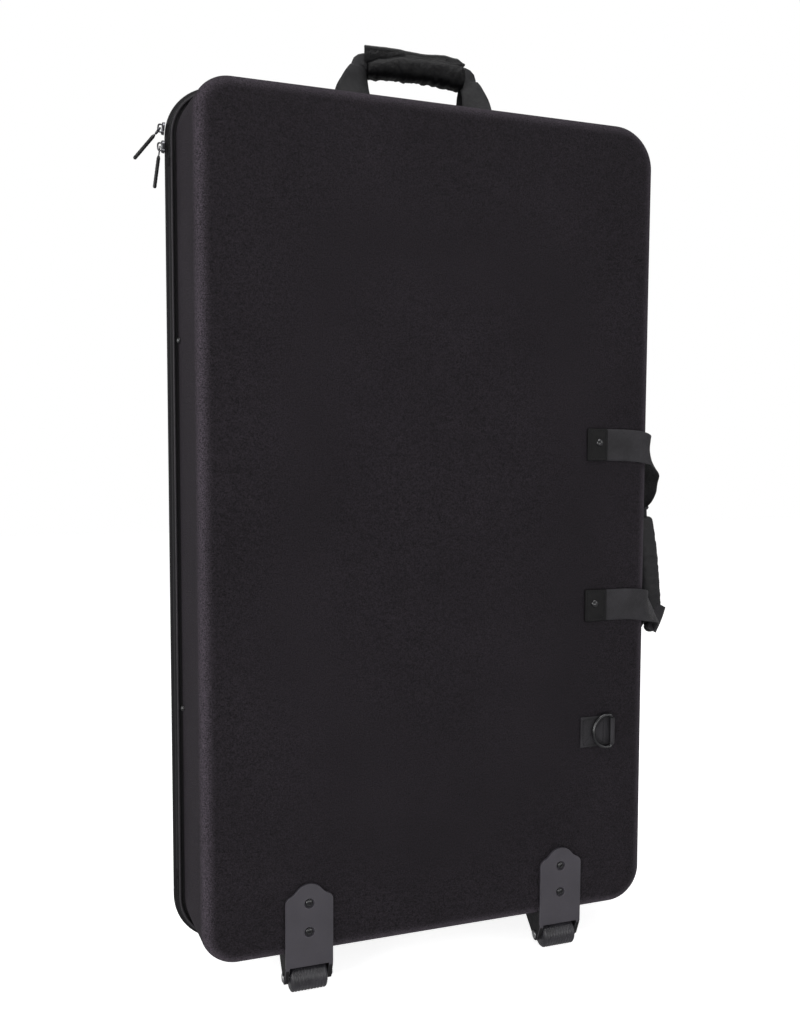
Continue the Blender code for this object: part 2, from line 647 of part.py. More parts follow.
def top_stations(pivot_y, bar_y, bar_w):
    """Front strap of the top handle: up from the left tab, through the grip and down to the right."""
    across, up = (1, 0, 0), (0, 0, 1)
    foot_z = HALF_H - wall_inset(abs(pivot_y)) + TOP_FOOT_LIFT
    left = [
        ((-TOP_TAB_X, pivot_y, foot_z + 0.0020), across, 0.0385),
        ((-TOP_TAB_X, pivot_y * 0.75, foot_z + 0.0125), across, 0.0385),
        ((-TOP_TAB_X + 0.0015, pivot_y * 0.55, foot_z + 0.0255), (1, 0.1, -0.25), 0.0370),
        ((-TOP_TAB_X + 0.0050, pivot_y * 0.40, foot_z + 0.0375), (1, 0.2, -0.75), 0.0310),
        ((-TOP_TAB_X + 0.0090, bar_y, foot_z + 0.0470), (0.75, 0.1, -1), 0.0240),
        ((-TOP_GRIP_HALF - 0.0025, bar_y, TOP_BAR_Z + 0.001), (0.05, 0, -1), bar_w),
    ]
    middle = [((x, bar_y, TOP_BAR_Z + 0.003), up, bar_w) for x in (-0.018, 0.018)]
    right = [((-p[0], p[1], p[2]), (-a[0], a[1], a[2]), w) for p, a, w in reversed(left)]

    def pointing_up(stations, flip):
        return [(p, tuple(flip * c for c in a), w) for p, a, w in stations]

    return pointing_up(left, -1) + middle + pointing_up(right, -1)


for half, side, parent in (("front", -1, case_frame), ("back", 1, lid)):
    shell_piece = front_shell if side < 0 else back_shell
    for where, x in (("left", -TOP_TAB_X), ("right", TOP_TAB_X)):
        near, far = TOP_PIVOT_Y + 0.0015, 0.040
        rows = []
        for lift in (GAP, GAP + 0.0028):
            rows.append([
                (x - 0.0195, side * near, HALF_H - wall_inset(near) + lift),
                (x + 0.0195, side * near, HALF_H - wall_inset(near) + lift),
                (x + 0.0195, side * far, HALF_H - wall_inset(far) + lift),
                (x - 0.0195, side * far, HALF_H - wall_inset(far) + lift),
            ])
        solid(f"top_tab_{half}_{where}", *loft(rows), "webbing", parent)
    pivot_y = side * TOP_PIVOT_Y
    root_z = HALF_H - wall_inset(TOP_PIVOT_Y) + TOP_FOOT_LIFT
    swing = pivot(f"top_handle_{half}_pivot", (0, pivot_y, root_z), parent)
    stations = top_stations(-TOP_PIVOT_Y, BAR_Y, TOP_BAR_W[half])
    solid(f"top_strap_{half}", *loft(ribbon(web_width(stations, -side), WEB_T)), "webbing", swing)
    if side < 0:
        rows = []
        shape = ((-1, 0.92, 0), (-0.8, 1, 0.001), (0, 1.05, 0.003), (0.8, 1, 0.001), (1, 0.92, 0))
        for share, grow, lift in shape:
            ring = u_section(0.030 * grow)
            x = share * TOP_GRIP_HALF
            rows.append([(x, v, TOP_BAR_Z + lift + u) for u, v in ring])
        solid("top_grip", *loft(rows), "grip_fabric", swing)


# ---- D-rings -------------------------------------------------------------------------------------
def d_ring(half, side, depth, z, parent):
    """Webbing tab folded round the straight bar of a D-ring that lies on it."""
    face = depth + GAP
    mid = face + WEB_T / 2
    bar_y = mid + WEB_T / 2 + GAP + D_WIRE
    turn_r = D_WIRE + GAP + WEB_T / 2
    path = [(RING_TAB_X, mid, 0.0365), (RING_TAB_X + 0.020, mid, 0.0365), (D_BAR_X, mid, 0.0325)]
    for degrees in (60, 30, 0, -30, -60, -90, -120, -140):
        a = radians(degrees)
        path.append((D_BAR_X + turn_r * cos(a), bar_y - turn_r * sin(a), 0.0325))
    stations = [((x, side * y, z), (0, 0, 1), width) for x, y, width in path]
    solid(f"d_ring_tab_{half}", *loft(ribbon(stations, WEB_T)), "webbing", parent)

    swing = pivot(f"d_ring_{half}_pivot", (D_BAR_X, side * bar_y, z), parent)
    route = [(0, -D_HALF + 0.0012), (0, 0.0), (0, D_HALF - 0.0012)]
    steps = 10
    for k in range(steps + 1):
        a = pi * k / steps
        route.append((-0.0016 - (D_REACH - 0.0016) * sin(a) ** 0.8, D_HALF * cos(a)))
    rows = []
    count = len(route)
    for i, (u, v) in enumerate(route):
        before, after = route[i - 1], route[(i + 1) % count]
        run = Vector((after[0] - before[0], 0, after[1] - before[1])).normalized()
        spoke, level = run.cross(Vector((0, 1, 0))), Vector((0, 1, 0))
        middle = Vector((D_BAR_X + u, side * bar_y, z + v))
        spokes = [spoke * cos(pi * k / 3) + level * sin(pi * k / 3) for k in range(6)]
        rows.append([middle + s * D_WIRE for s in spokes])
    solid(f"d_ring_{half}", *loft(rows, round_columns=True), "black_steel", swing, smooth=True)


d_ring("front", -1, FRONT_D, D_RING_Z, case_frame)
d_ring("back", 1, BACK_D, BACK_D_RING_Z, lid)

# ---- retaining straps inside the front half ------------------------------------------------------
strap_end = WALL + LINING_SIDE_GAP + LINING_T
for where, z in (("upper", WALL_RIVET_Z), ("lower", -WALL_RIVET_Z)):
    stations = []
    for depth, extra in ((0.030, 0), (0.022, 0), (0.0125, 0), (0.0100, 0.0025)):
        inset = wall_inset(depth) + strap_end + GAP + WEB_T / 2 + extra
        stations.append(((-HALF_W + inset, -depth, z), (0, 0, 1), 0.025))
    for x, depth in ((-0.240, 0.0110), (-0.120, 0.0150), (0.0, 0.0165)):
        stations.append(((x, -depth, z), (0, 0, 1), 0.025))
    stations += [((-p[0], p[1], p[2]), a, w) for p, a, w in reversed(stations[:-1])]
    strap = solid("retaining_strap_" + where, *loft(ribbon(stations, WEB_T)), "webbing", case_frame)
    for label, s in (("left", -1), ("right", 1)):
        start = s * (HALF_W - wall_inset(WALL_RIVET_Y) + 2 * GAP)
        at = (start, -WALL_RIVET_Y, z)
        outside = (start + s * 0.003, -WALL_RIVET_Y, z)
        pieces = [front_shell, front_lining, strap]
        drill(pieces, f"hole_wall_{label}_{where}", outside, (-s, 0, 0), 0.018, SHANK_R + 0.0005)
        grip = strap_end + WEB_T + 5 * GAP
        rivet(f"wall_rivet_{label}_{where}", at, (-s, 0, 0), grip, case_frame, head=0.0035)
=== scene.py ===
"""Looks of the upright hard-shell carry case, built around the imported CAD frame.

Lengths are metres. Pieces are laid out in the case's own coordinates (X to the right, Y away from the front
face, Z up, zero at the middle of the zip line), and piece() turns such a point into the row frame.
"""

from math import cos, pi, radians, sin, sqrt

import bmesh
import bpy
import numpy as np
from mathutils import Matrix, Vector, noise


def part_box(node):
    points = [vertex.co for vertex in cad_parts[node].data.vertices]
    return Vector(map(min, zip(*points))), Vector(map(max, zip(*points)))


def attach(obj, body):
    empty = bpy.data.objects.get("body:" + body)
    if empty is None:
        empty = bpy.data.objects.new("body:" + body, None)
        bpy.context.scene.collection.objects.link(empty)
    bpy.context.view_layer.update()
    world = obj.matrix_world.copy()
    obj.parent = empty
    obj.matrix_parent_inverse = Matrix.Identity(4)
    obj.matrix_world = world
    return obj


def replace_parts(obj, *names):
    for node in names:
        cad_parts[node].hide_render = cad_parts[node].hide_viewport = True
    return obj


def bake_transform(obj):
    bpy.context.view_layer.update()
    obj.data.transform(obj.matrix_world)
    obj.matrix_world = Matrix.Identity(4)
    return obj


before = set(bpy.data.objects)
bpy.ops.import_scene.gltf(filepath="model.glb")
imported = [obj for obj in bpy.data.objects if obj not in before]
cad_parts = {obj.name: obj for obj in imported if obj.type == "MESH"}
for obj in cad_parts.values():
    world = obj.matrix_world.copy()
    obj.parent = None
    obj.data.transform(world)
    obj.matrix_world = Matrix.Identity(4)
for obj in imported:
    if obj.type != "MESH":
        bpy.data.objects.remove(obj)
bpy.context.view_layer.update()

# ---- sizes, from the frame where it has them -----------------------------------------------------
band_low, band_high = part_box("front_zip_band")
ZIP_HALF = 0.0018        # from the zip line to each half of the band
ZERO = Vector(((band_low.x + band_high.x) / 2, band_high.y + ZIP_HALF, (band_low.z + band_high.z) / 2))
HALF_W = (band_high.x - band_low.x) / 2
HALF_H = (band_high.z - band_low.z) / 2
BAND_D = ZERO.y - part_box("front_shell")[1].y
RIM_D = 0.0032           # the visible wall runs down to here, inside the groove
FRONT_D = ZERO.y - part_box("front_shell")[0].y
BACK_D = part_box("back_shell")[1].y - ZERO.y
FLOOR = -ZERO.z
HALVES = (("front", -1, FRONT_D, "case_base"), ("back", 1, BACK_D, "lid"))

GAP = 0.0003
BAND_R = 0.0605
LEAST_R = 0.004
GROOVE = 0.0119          # from the band's outer edge to the foot of a shell's wall
DRAFT = 0.122
EDGE_R = 0.018
WALL = 0.0045
CROWN = 0.0012           # how far the middle of each face stands proud of its edge
FACE_INSET = 0.0395
WEB_T = 0.0018
PATCH_T = 0.0028
# The front shell isn't quite true: its top right corner is rounder, and its top and right side draw in.
SOFT_CORNERS = (0.0, 0.011, 0.004, 0.0)
TOP_SAG = 0.0020
WAIST = 0.0014

ARC_STEPS = 20
EDGE_STEPS = 10
Y = Vector((0, 1, 0))


# ---- materials -----------------------------------------------------------------------------------
class Finish:
    """A procedural material that is put together in steps."""

    def __init__(self, name, colour, roughness, metallic=0.0, sheen=0.0, coat=0.0, specular=0.5):
        self.material = bpy.data.materials.new(name)
        self.material.use_nodes = True
        self.nodes = self.material.node_tree.nodes
        self.links = self.material.node_tree.links
        self.shader = self.nodes["Principled BSDF"]
        self.colour = colour
        for key, value in (("Base Color", (*colour, 1)), ("Roughness", roughness), ("Metallic", metallic),
                           ("Sheen Weight", sheen), ("Sheen Roughness", 0.5), ("Coat Weight", coat),
                           ("Specular IOR Level", specular)):
            self.shader.inputs[key].default_value = value
        self.place = self.nodes.new("ShaderNodeTexCoord").outputs["Object"]

    def add(self, kind, inputs, **settings):
        """A node. Each of its inputs is given a value or a link."""
        node = self.nodes.new(kind)
        for key, value in settings.items():
            setattr(node, key, value)
        for key, value in inputs.items():
            if isinstance(value, bpy.types.NodeSocket):
                self.links.new(value, node.inputs[key])
            else:
                node.inputs[key].default_value = value
        return node

    def math(self, operation, *values):
        return self.add("ShaderNodeMath", dict(enumerate(values)), operation=operation).outputs[0]

    def noise(self, scale, detail=2.0, stretch=None, roughness=0.5):
        """Noise over the object's own coordinates, as a value about 0.5."""
        place = self.place
        if stretch:
            place = self.add("ShaderNodeMapping", {"Scale": stretch, "Vector": place}).outputs["Vector"]
        inputs = {"Scale": scale, "Detail": detail, "Roughness": roughness, "Vector": place}
        return self.add("ShaderNodeTexNoise", inputs).outputs["Fac"]

    def split(self, vector):
        return self.add("ShaderNodeSeparateXYZ", {0: vector}).outputs

    def axis(self, which):
        """One coordinate of the object's own space, in metres."""
        return self.split(self.place)[which]

    def facing(self):
        """1 where the surface faces along the case's depth and 0 where it faces sideways."""
        depthwise = self.split(self.add("ShaderNodeTexCoord", {}).outputs["Normal"])[1]
        return self.math("MULTIPLY", depthwise, depthwise)

    def wave(self, value, period, phase=0.0):
        """A sine of a value, from 0 to 1."""
        turned = self.math("MULTIPLY_ADD", value, 2 * pi / period, phase)
        return self.math("MULTIPLY_ADD", self.math("SINE", turned), 0.5, 0.5)

    def spread(self, value, low, high):
        """low where the value is 0.3 and high where it is 0.7."""
        inputs = {"From Min": 0.3, "From Max": 0.7, "To Min": low, "To Max": high, "Value": value}
        return self.add("ShaderNodeMapRange", inputs).outputs["Result"]

    def shade(self, value, low, high):
        """Multiplies the base colour by a spread of the value."""
        socket = self.shader.inputs["Base Color"]
        colour = socket.links[0].from_socket if socket.is_linked else self.colour
        inputs = {0: colour, "Scale": self.spread(value, low, high)}
        self.links.new(self.add("ShaderNodeVectorMath", inputs, operation="SCALE").outputs["Vector"], socket)

    def gloss(self, value, low, high):
        """Lets the roughness run from low to high with a value."""
        self.links.new(self.spread(value, low, high), self.shader.inputs["Roughness"])

    def relief(self, value, depth):
        """Adds a bump of a depth in metres."""
        inputs = {"Distance": depth, "Strength": 1.0, "Height": value}
        socket = self.shader.inputs["Normal"]
        if socket.is_linked:
            inputs["Normal"] = socket.links[0].from_socket
        self.links.new(self.add("ShaderNodeBump", inputs).outputs["Normal"], socket)


def shell_cloth():
    """Fine polyester laminated on moulded foam, with painted light: paler rounded edges and side walls."""
    made = Finish("shell_cloth", (0.0098, 0.0081, 0.0102), 0.82, sheen=0.006, specular=0.10)
    made.shader.inputs["Sheen Tint"].default_value = (0.93, 0.90, 1.0, 1)
    made.shader.inputs["Sheen Roughness"].default_value = 0.42
    grain = made.noise(760, 3.0, roughness=0.60)
    made.shade(grain, 0.08, 1.92)
    made.shade(made.noise(9, 3.0), 0.90, 1.10)
    # Painted light from the surface's direction: a painted highlight on the rounded edges, painted side light
    # on the walls
    facing = made.facing()
    turned_away = made.math("SUBTRACT", 1.0, facing)
    painted_edge_highlight = made.math("MULTIPLY", made.math("MULTIPLY", facing, turned_away), 4.0)
    # painted highlight on the rounded edges between face and walls
    made.shade(made.math("MULTIPLY_ADD", painted_edge_highlight, 0.4, 0.3), 1.0, 2.7)
    # painted side light: the side walls made paler
    made.shade(made.math("MULTIPLY_ADD", turned_away, 0.4, 0.3), 1.0, 1.40)
    made.relief(made.noise(520, 3.0), 0.0011)
    across, deep, upright = (made.wave(made.axis(k), 0.0011) for k in range(3))
    made.relief(made.math("ADD", made.math("MULTIPLY", across, upright), deep), 0.00005)
    made.gloss(grain, 0.66, 0.92)
    return made.material


def tape_cloth():
    """Ribbed tape of the zip and its binding."""
    made = Finish("tape_cloth", (0.0085, 0.0080, 0.0092), 0.66, sheen=0.02, specular=0.20)
    ribs = made.wave(made.axis(1), 0.00085)
    steps = made.wave(made.math("ADD", made.axis(0), made.axis(2)), 0.0011)
    made.relief(made.math("MULTIPLY_ADD", steps, 0.5, ribs), 0.00012)
    made.shade(made.noise(700, 2.0), 0.78, 1.25)
    return made.material


def webbing_cloth(name, colour, gloss):
    """Plain woven webbing: picks across the strap, warp ribs along it."""
    made = Finish(name, colour, gloss, sheen=0.03, specular=0.30)
    across, run, _ = made.split(made.add("ShaderNodeUVMap", {}, uv_map="strap").outputs["UV"])
    ribs = made.wave(across, 0.0019)
    picks, offset = made.wave(run, 0.0013), made.wave(run, 0.0013, pi)
    other_ribs = made.math("SUBTRACT", 1.0, ribs)
    weave = made.math("ADD", made.math("MULTIPLY", ribs, picks), made.math("MULTIPLY", other_ribs, offset))
    made.relief(weave, 0.00035)
    made.shade(weave, 0.66, 1.22)
    made.shade(made.noise(38, 4.0), 0.52, 1.48)
    made.gloss(made.noise(240, 2.0), gloss - 0.08, gloss + 0.10)
    return made.material


def leather():
    """Pored black leather of the sewn patches."""
    made = Finish("patch_grain", (0.0034, 0.0032, 0.0036), 0.46, specular=0.20)
    pores = made.add("ShaderNodeTexVoronoi", {"Scale": 1500, "Vector": made.place}, feature="SMOOTH_F1")
    made.relief(pores.outputs["Distance"], 0.00022)
    made.shade(made.noise(260, 3.0), 0.76, 1.26)
    made.gloss(made.noise(120, 2.0), 0.42, 0.60)
    return made.material


def grip_cloth(name, colour, gloss, fold, sheen, shine):
    """Satin-faced cover of the padded grips. fold is the height of its small creases."""
    made = Finish(name, colour, gloss, sheen=sheen, specular=shine)
    threads = made.wave(made.math("ADD", made.axis(0), made.axis(2)), 0.0007)
    cross = made.wave(made.math("SUBTRACT", made.axis(2), made.axis(1)), 0.0009)
    made.relief(made.math("MULTIPLY", threads, cross), 0.00010)
    made.relief(made.noise(95, 3.0), fold)
    made.shade(made.noise(300, 3.0), 0.72, 1.30)
    return made.material


def thread_cotton():
    made = Finish("stitch_thread", (0.0080, 0.0078, 0.0088), 0.60, sheen=0.02, specular=0.2)
    twist = made.wave(made.math("ADD", made.axis(0), made.math("ADD", made.axis(1), made.axis(2))), 0.0006)
    made.relief(twist, 0.00012)
    made.shade(made.noise(900, 2.0), 0.8, 1.25)
    return made.material


def surface(name, colour, roughness, bumps, depth, shades, gloss=None, **kind):
    """A finish of layered noise. bumps, and what stands first in each of the shades and in gloss, is what
    noise() takes, and the two numbers after it are what the noise runs between."""
    made = Finish(name, colour, roughness, **kind)
    made.relief(made.noise(*bumps), depth)
    for grain, low, high in shades:
        made.shade(made.noise(*grain), low, high)
    if gloss:
        made.gloss(made.noise(*gloss[0]), *gloss[1:])
    return made.material


def moulded(name, colour, gloss):
    """Moulded plastic with a fine spark-eroded grain."""
    shades = (((40, 4.0), 0.90, 1.10), ((1200, 2.0), 0.93, 1.08))
    return surface(name, colour, gloss, (2600, 2.0), 0.00016, shades,
                   ((170, 3.0), gloss - 0.06, gloss + 0.08), specular=0.30)


def rubber(name, colour, gloss):
    """Rubber with scuffs and a slight bloom."""
    return surface(name, colour, gloss, (900, 3.0), 0.0003, (((75, 4.0), 0.72, 1.30),),
                   ((90, 3.0), gloss - 0.12, gloss + 0.14))


def metal(name, colour, gloss, grain):
    """Plated metal with fine polishing marks."""
    marks = (900, 3.0, (1, 1, grain))
    return surface(name, colour, gloss, marks, 0.00004, (((300, 2.0), 0.88, 1.10),),
                   (marks, gloss * 0.75, gloss * 1.35), metallic=1.0)


CLOTH = shell_cloth()
LINING = surface("lining_cloth", (0.030, 0.030, 0.032), 0.95, (1300, 3.0, (1, 1, 0.4)), 0.0006,
                 (((900, 3.0, (1, 1, 0.35)), 0.72, 1.28), ((14, 3.0), 0.90, 1.10)), sheen=0.25)
TAPE = tape_cloth()
# The piping bead's cloth is a paler copy of the tape: a painted highlight on the rounded bead
PIPING_HIGHLIGHT = surface("piping_highlight_cloth", (0.020, 0.018, 0.021), 0.62, (1400, 2.0), 0.0002,
                 (((700, 2.0), 0.72, 1.30),), sheen=0.02, specular=0.30)
CHAIN = surface("chain_plastic", (0.010, 0.010, 0.011), 0.38, (2200, 2.0), 0.0001, (((400, 2.0), 0.8, 1.3),))
WEBBING = webbing_cloth("webbing_weave", (0.0150, 0.0139, 0.0166), 0.50)
LEATHER = leather()
GRIP = grip_cloth("grip_cloth", (0.0072, 0.0068, 0.0084), 0.50, 0.0012, 0.03, 0.36)
TOP_GRIP = grip_cloth("top_grip_satin", (0.0014, 0.0013, 0.0017), 0.40, 0.0024, 0.002, 0.16)
TOP_WEBBING = webbing_cloth("top_webbing_weave", (0.0060, 0.0057, 0.0072), 0.44)
PLASTIC = moulded("bracket_grain", (0.0375, 0.0345, 0.0415), 0.42)
# Paler plastic for the brackets' bevels: a painted highlight where the edges catch the light
EDGE_HIGHLIGHT = moulded("bracket_edge_highlight", (0.085, 0.080, 0.092), 0.38)
CHEEK = moulded("cheek_grain", (0.0060, 0.0055, 0.0065), 0.60)
ROLLER = rubber("roller_skin", (0.0190, 0.0180, 0.0215), 0.30)
PULL = rubber("pull_skin", (0.0040, 0.0040, 0.0045), 0.40)
FOOT = rubber("foot_skin", (0.022, 0.022, 0.024), 0.65)
NICKEL = metal("bright_nickel", (0.13, 0.13, 0.14), 0.16, 0.2)
STEEL = metal("plain_steel", (0.48, 0.48, 0.49), 0.32, 0.1)
BLACK_METAL = surface("black_enamel", (0.006, 0.006, 0.007), 0.22, (800, 2.0), 0.00005,
                      (((220, 3.0), 0.8, 1.2),), ((400, 2.0), 0.176, 0.286), coat=0.5)
THREAD = thread_cotton()
BINDING = rubber("grip_binding", (0.0030, 0.0030, 0.0034), 0.45)


# ---- mesh helpers --------------------------------------------------------------------------------
def piece(name, points, faces, finish, body=None, sharp=35, uv=None):
    """A mesh piece in the row frame from points in the case's own coordinates."""
    mesh = bpy.data.meshes.new(name)
    mesh.from_pydata([ZERO + Vector(p) for p in points], [], faces)
    if uv:
        layer = mesh.uv_layers.new(name="strap")
        for loop in mesh.loops:
            layer.data[loop.index].uv = uv[loop.vertex_index]
    shape = bmesh.new()
    shape.from_mesh(mesh)
    bmesh.ops.recalc_face_normals(shape, faces=shape.faces)
    shape.to_mesh(mesh)
    shape.free()
    mesh.materials.append(finish)
    mesh.shade_smooth()
    mesh.set_sharp_from_angle(angle=radians(sharp))
    made = bpy.data.objects.new(name, mesh)
    bpy.context.scene.collection.objects.link(made)
    if body:
        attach(made, body)
    return made


def loft(rows, round_rows=True, round_columns=False):
    """Points and faces of a closed skin over rows of points."""
    count = len(rows[0])
    points = [p for row in rows for p in row]
    faces = []
    for i in range(len(rows) if round_columns else len(rows) - 1):
        here, there = i * count, (i + 1) % len(rows) * count
        for j in range(count if round_rows else count - 1):
            k = (j + 1) % count
            faces.append((here + j, here + k, there + k, there + j))
    if not round_columns:
        faces.append(tuple(range(count)))
        faces.append(tuple((len(rows) - 1) * count + j for j in range(count)))
    if not round_rows:
        faces.append(tuple(i * count for i in range(len(rows))))
        faces.append(tuple(i * count + count - 1 for i in range(len(rows))))
    return points, faces


def joined(parts):
    """Points and faces of several closed skins as one list."""
    points, faces = [], []
    for part_points, part_faces in parts:
        start = len(points)
        points += part_points
        faces += [tuple(start + i for i in face) for face in part_faces]
    return points, faces


def circle(middle, side, up, radius, count):
    """Points on a circle about a middle, in the plane of side and up."""
    angles = [2 * pi * k / count for k in range(count)]
    return [middle + (side * cos(a) + up * sin(a)) * radius for a in angles]


def turned(profile, centre, axis, side, steps):
    """Rows of a profile of (distance along the axis, radius) turned about the axis."""
    axis, side, centre = Vector(axis).normalized(), Vector(side).normalized(), Vector(centre)
    return [circle(centre + axis * run, side, axis.cross(side), radius, steps) for run, radius in profile]


def arc(cx, cy, radius, start, end, steps):
    """Points on an arc in a plane, angles in degrees."""
    angles = [radians(start + (end - start) * k / steps) for k in range(steps + 1)]
    return [(cx + radius * cos(a), cy + radius * sin(a)) for a in angles]


def spline(points, steps):
    """Catmull-Rom curve through points, which may be tuples of any length."""
    data = [np.array(p, float) for p in points]
    data = [2 * data[0] - data[1]] + data + [2 * data[-1] - data[-2]]
    out = []
    for i in range(1, len(data) - 2):
        a, b, c, d = data[i - 1:i + 3]
        for t in [k / steps for k in range(steps)]:
            out.append(0.5 * (2 * b + (c - a) * t + (2 * a - 5 * b + 4 * c - d) * t ** 2
                              + (3 * b - 3 * c + d - a) * t ** 3))
    return out + [data[-2]]


def tube(points, radius, sides):
    """Rows of a round tube along points, with a frame that doesn't twist."""
    points = [Vector(p) for p in points]
    rows = []
    side = None
    for i, here in enumerate(points):
        run = (points[min(i + 1, len(points) - 1)] - points[max(i - 1, 0)]).normalized()
        if side is None:
            side = run.orthogonal().normalized()
        side = (side - run * side.dot(run)).normalized()
        rows.append(circle(here, side, run.cross(side), radius, sides))
    return rows


def lengths(points):
    """Lengths of the spans between points."""
    return [(b - a).length for a, b in zip(points, points[1:])]


def bulge(value, power):
    """A power of a value's size, with its sign."""
    return abs(value) ** power * (1 if value >= 0 else -1)


def box_skin(low, high):
    corners = ((low[0], low[2]), (high[0], low[2]), (high[0], high[2]), (low[0], high[2]))
    return loft([[Vector((x, y, z)) for x, z in corners] for y in (low[1], high[1])])


def bevel(made, angle):
    """Rounds the edges that are sharper than an angle in degrees."""
    modifier = made.modifiers.new("bevel", "BEVEL")
    modifier.width = 0.0009
    modifier.segments = 3
    modifier.limit_method = "ANGLE"
    modifier.angle_limit = radians(angle)
    modifier.harden_normals = True
    return modifier


def cut(made, skin, operation="DIFFERENCE"):
    """Cuts a skin away from a piece, or joins it on, with a Boolean that is applied."""
    other = piece("cutter", *skin, PLASTIC)
    modifier = made.modifiers.new("cut", "BOOLEAN")
    modifier.operation = operation
    modifier.object = other
    graph = bpy.context.evaluated_depsgraph_get()
    mesh = bpy.data.meshes.new_from_object(made.evaluated_get(graph))
    made.modifiers.clear()
    made.data = mesh
    bpy.data.objects.remove(other)


def stitches(name, runs, body, pitch=0.0032, length=0.0023, radius=0.00032):
    """Thread along runs of (point, outward normal): a row of short raised stitches."""
    section = ((-0.5, 0.35, -0.5), (-0.34, 0.9, 0.25), (0, 1, 0.45), (0.34, 0.9, 0.25), (0.5, 0.35, -0.5))
    parts = []
    for run in runs:
        points = [Vector(p) for p, _ in run]
        spans = lengths(points)
        number = max(1, int(sum(spans) / pitch))
        for k in range(number):
            middle = sum(spans) * (k + 0.5) / number
            i = 0
            while i < len(spans) - 1 and middle > spans[i]:
                middle -= spans[i]
                i += 1
            way = (points[i + 1] - points[i]).normalized()
            centre = points[i] + way * middle
            up = Vector(run[i][1]).normalized()
            side = way.cross(up).normalized()
            parts.append(loft([circle(centre + way * (share * length) + up * (lift * radius), side, up,
                                      radius * size, 6) for share, size, lift in section]))
    return piece(name, *joined(parts), THREAD, body, sharp=80)


# ---- outlines of the case ------------------------------------------------------------------------
def outline(inset, depth, runs=(1, 1), extra=(0, 0, 0, 0)):
    """Loop round the case, clockwise from the left end of the top left corner. The corners of all loops share
    their centres, unless extra adds to the radii of the top left, top right, bottom right and bottom left
    one. runs are the numbers of edges along the short and the long straight sides."""
    radii = [max(BAND_R - inset, LEAST_R) + more for more in extra]
    flat = []
    signs = ((-1, 1, 180), (1, 1, 90), (1, -1, 0), (-1, -1, -90))
    centres = [(sx * (HALF_W - inset - r), sz * (HALF_H - inset - r), start)
               for (sx, sz, start), r in zip(signs, radii)]
    for k, (cx, cz, start) in enumerate(centres):
        flat += arc(cx, cz, radii[k], start, start - 90, ARC_STEPS)
        nx, nz, nstart = centres[(k + 1) % 4]
        radius = radii[(k + 1) % 4]
        ax, az = flat[-1]
        bx, bz = nx + radius * cos(radians(nstart)), nz + radius * sin(radians(nstart))
        edges = runs[k % 2]
        flat += [(ax + (bx - ax) * i / edges, az + (bz - az) * i / edges) for i in range(1, edges)]
    return [Vector((x, depth, z)) for x, z in flat]


def wall_inset(depth):
    return GROOVE + DRAFT * max(0.0, depth - BAND_D)


def crown(x, z):
    """How far a face stands proud at a place: full in the middle, nothing at its edge."""
    across = max(0.0, 1 - (x / (HALF_W - FACE_INSET)) ** 2)
    upright = max(0.0, 1 - (z / (HALF_H - FACE_INSET)) ** 2)
    return CROWN * across * upright


# ---- shells --------------------------------------------------------------------------------------
def shell_skin(depth, side, thickness, rings):
    """Loops of a shell's surface from the floor of the groove to the middle of its face."""
    edge_r = EDGE_R - thickness
    start = depth - EDGE_R
    rows = []

    def loop(inset, at_depth):
        share = max(0.0, (at_depth - BAND_D) / (depth - BAND_D))
        extra = [share * more for more in (SOFT_CORNERS if side < 0 else (0, 0, 0, 0))]
        return outline(inset, side * at_depth, runs=(16, 30), extra=extra)

    for k in range(6):
        d = RIM_D + (start - RIM_D) * k / 6
        rows.append(loop(wall_inset(d) + thickness, d))
    for k in range(EDGE_STEPS + 1):
        turn = pi / 2 * k / EDGE_STEPS
        inset = wall_inset(start) + thickness + edge_r * (1 - cos(turn))
        rows.append(loop(inset, start + edge_r * sin(turn)))
    first = wall_inset(start) + EDGE_R
    for k in range(1, rings + 1):
        rows.append(loop(first + (HALF_W - first - 0.012) * k / rings, depth - thickness))
    for row in rows:
        for p in row:
            if abs(p.y) > depth - thickness - 1e-6:
                p.y += side * crown(p.x, p.z)
            wave = noise.noise(Vector((p.x * 7, side * 3.1, p.z * 7)))
            ease = min(1.0, max(0.0, abs(p.y) - BAND_D) / 0.02)
            p.y += side * 0.00035 * wave * ease
            if side < 0:
                share = max(0.0, abs(p.y) - BAND_D) / (depth - BAND_D)
                p.z -= TOP_SAG * share * max(0.0, p.z / HALF_H)
                p.x -= WAIST * share * max(0.0, p.x / HALF_W) * max(0.0, 1 - (p.z / HALF_H) ** 2)
    return rows


def shell(name, depth, side, body):
    outer = shell_skin(depth, side, 0, 12)
    inner = shell_skin(depth, side, WALL, 3)
    made = piece(name, *loft(outer[::-1] + inner), CLOTH, body, sharp=50)
    return made


for half, side, depth, body in HALVES:
    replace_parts(shell(f"{half}_shell_cover", depth, side, body), f"{half}_shell")


def lining(name, depth, side, body):
    """Padded tray inside a shell, with a rolled edge at the rim."""
    inside = WALL + 0.001
    face = depth - 0.003
    outer = shell_skin(face, side, inside, 3)
    inner = shell_skin(face, side, inside + 0.0025, 10)
    for rows in (outer, inner):
        for p in rows[0]:
            p.y = side * (BAND_D + GAP)
    for row in inner[EDGE_STEPS + 6:]:
        for p in row:
            puff = abs(sin(pi * p.x / 0.12) * sin(pi * p.z / 0.12)) ** 0.35
            p.y -= side * 0.0012 * puff * min(1.0, crown(p.x, p.z) / (0.2 * CROWN))
    made = piece(name, *loft(outer[::-1] + inner), LINING, body, sharp=60)
    return made


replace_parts(lining("front_tray_lining", FRONT_D, -1, "case_base"), "front_lining")
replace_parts(lining("back_tray_lining", BACK_D, 1, "lid"), "back_lining")


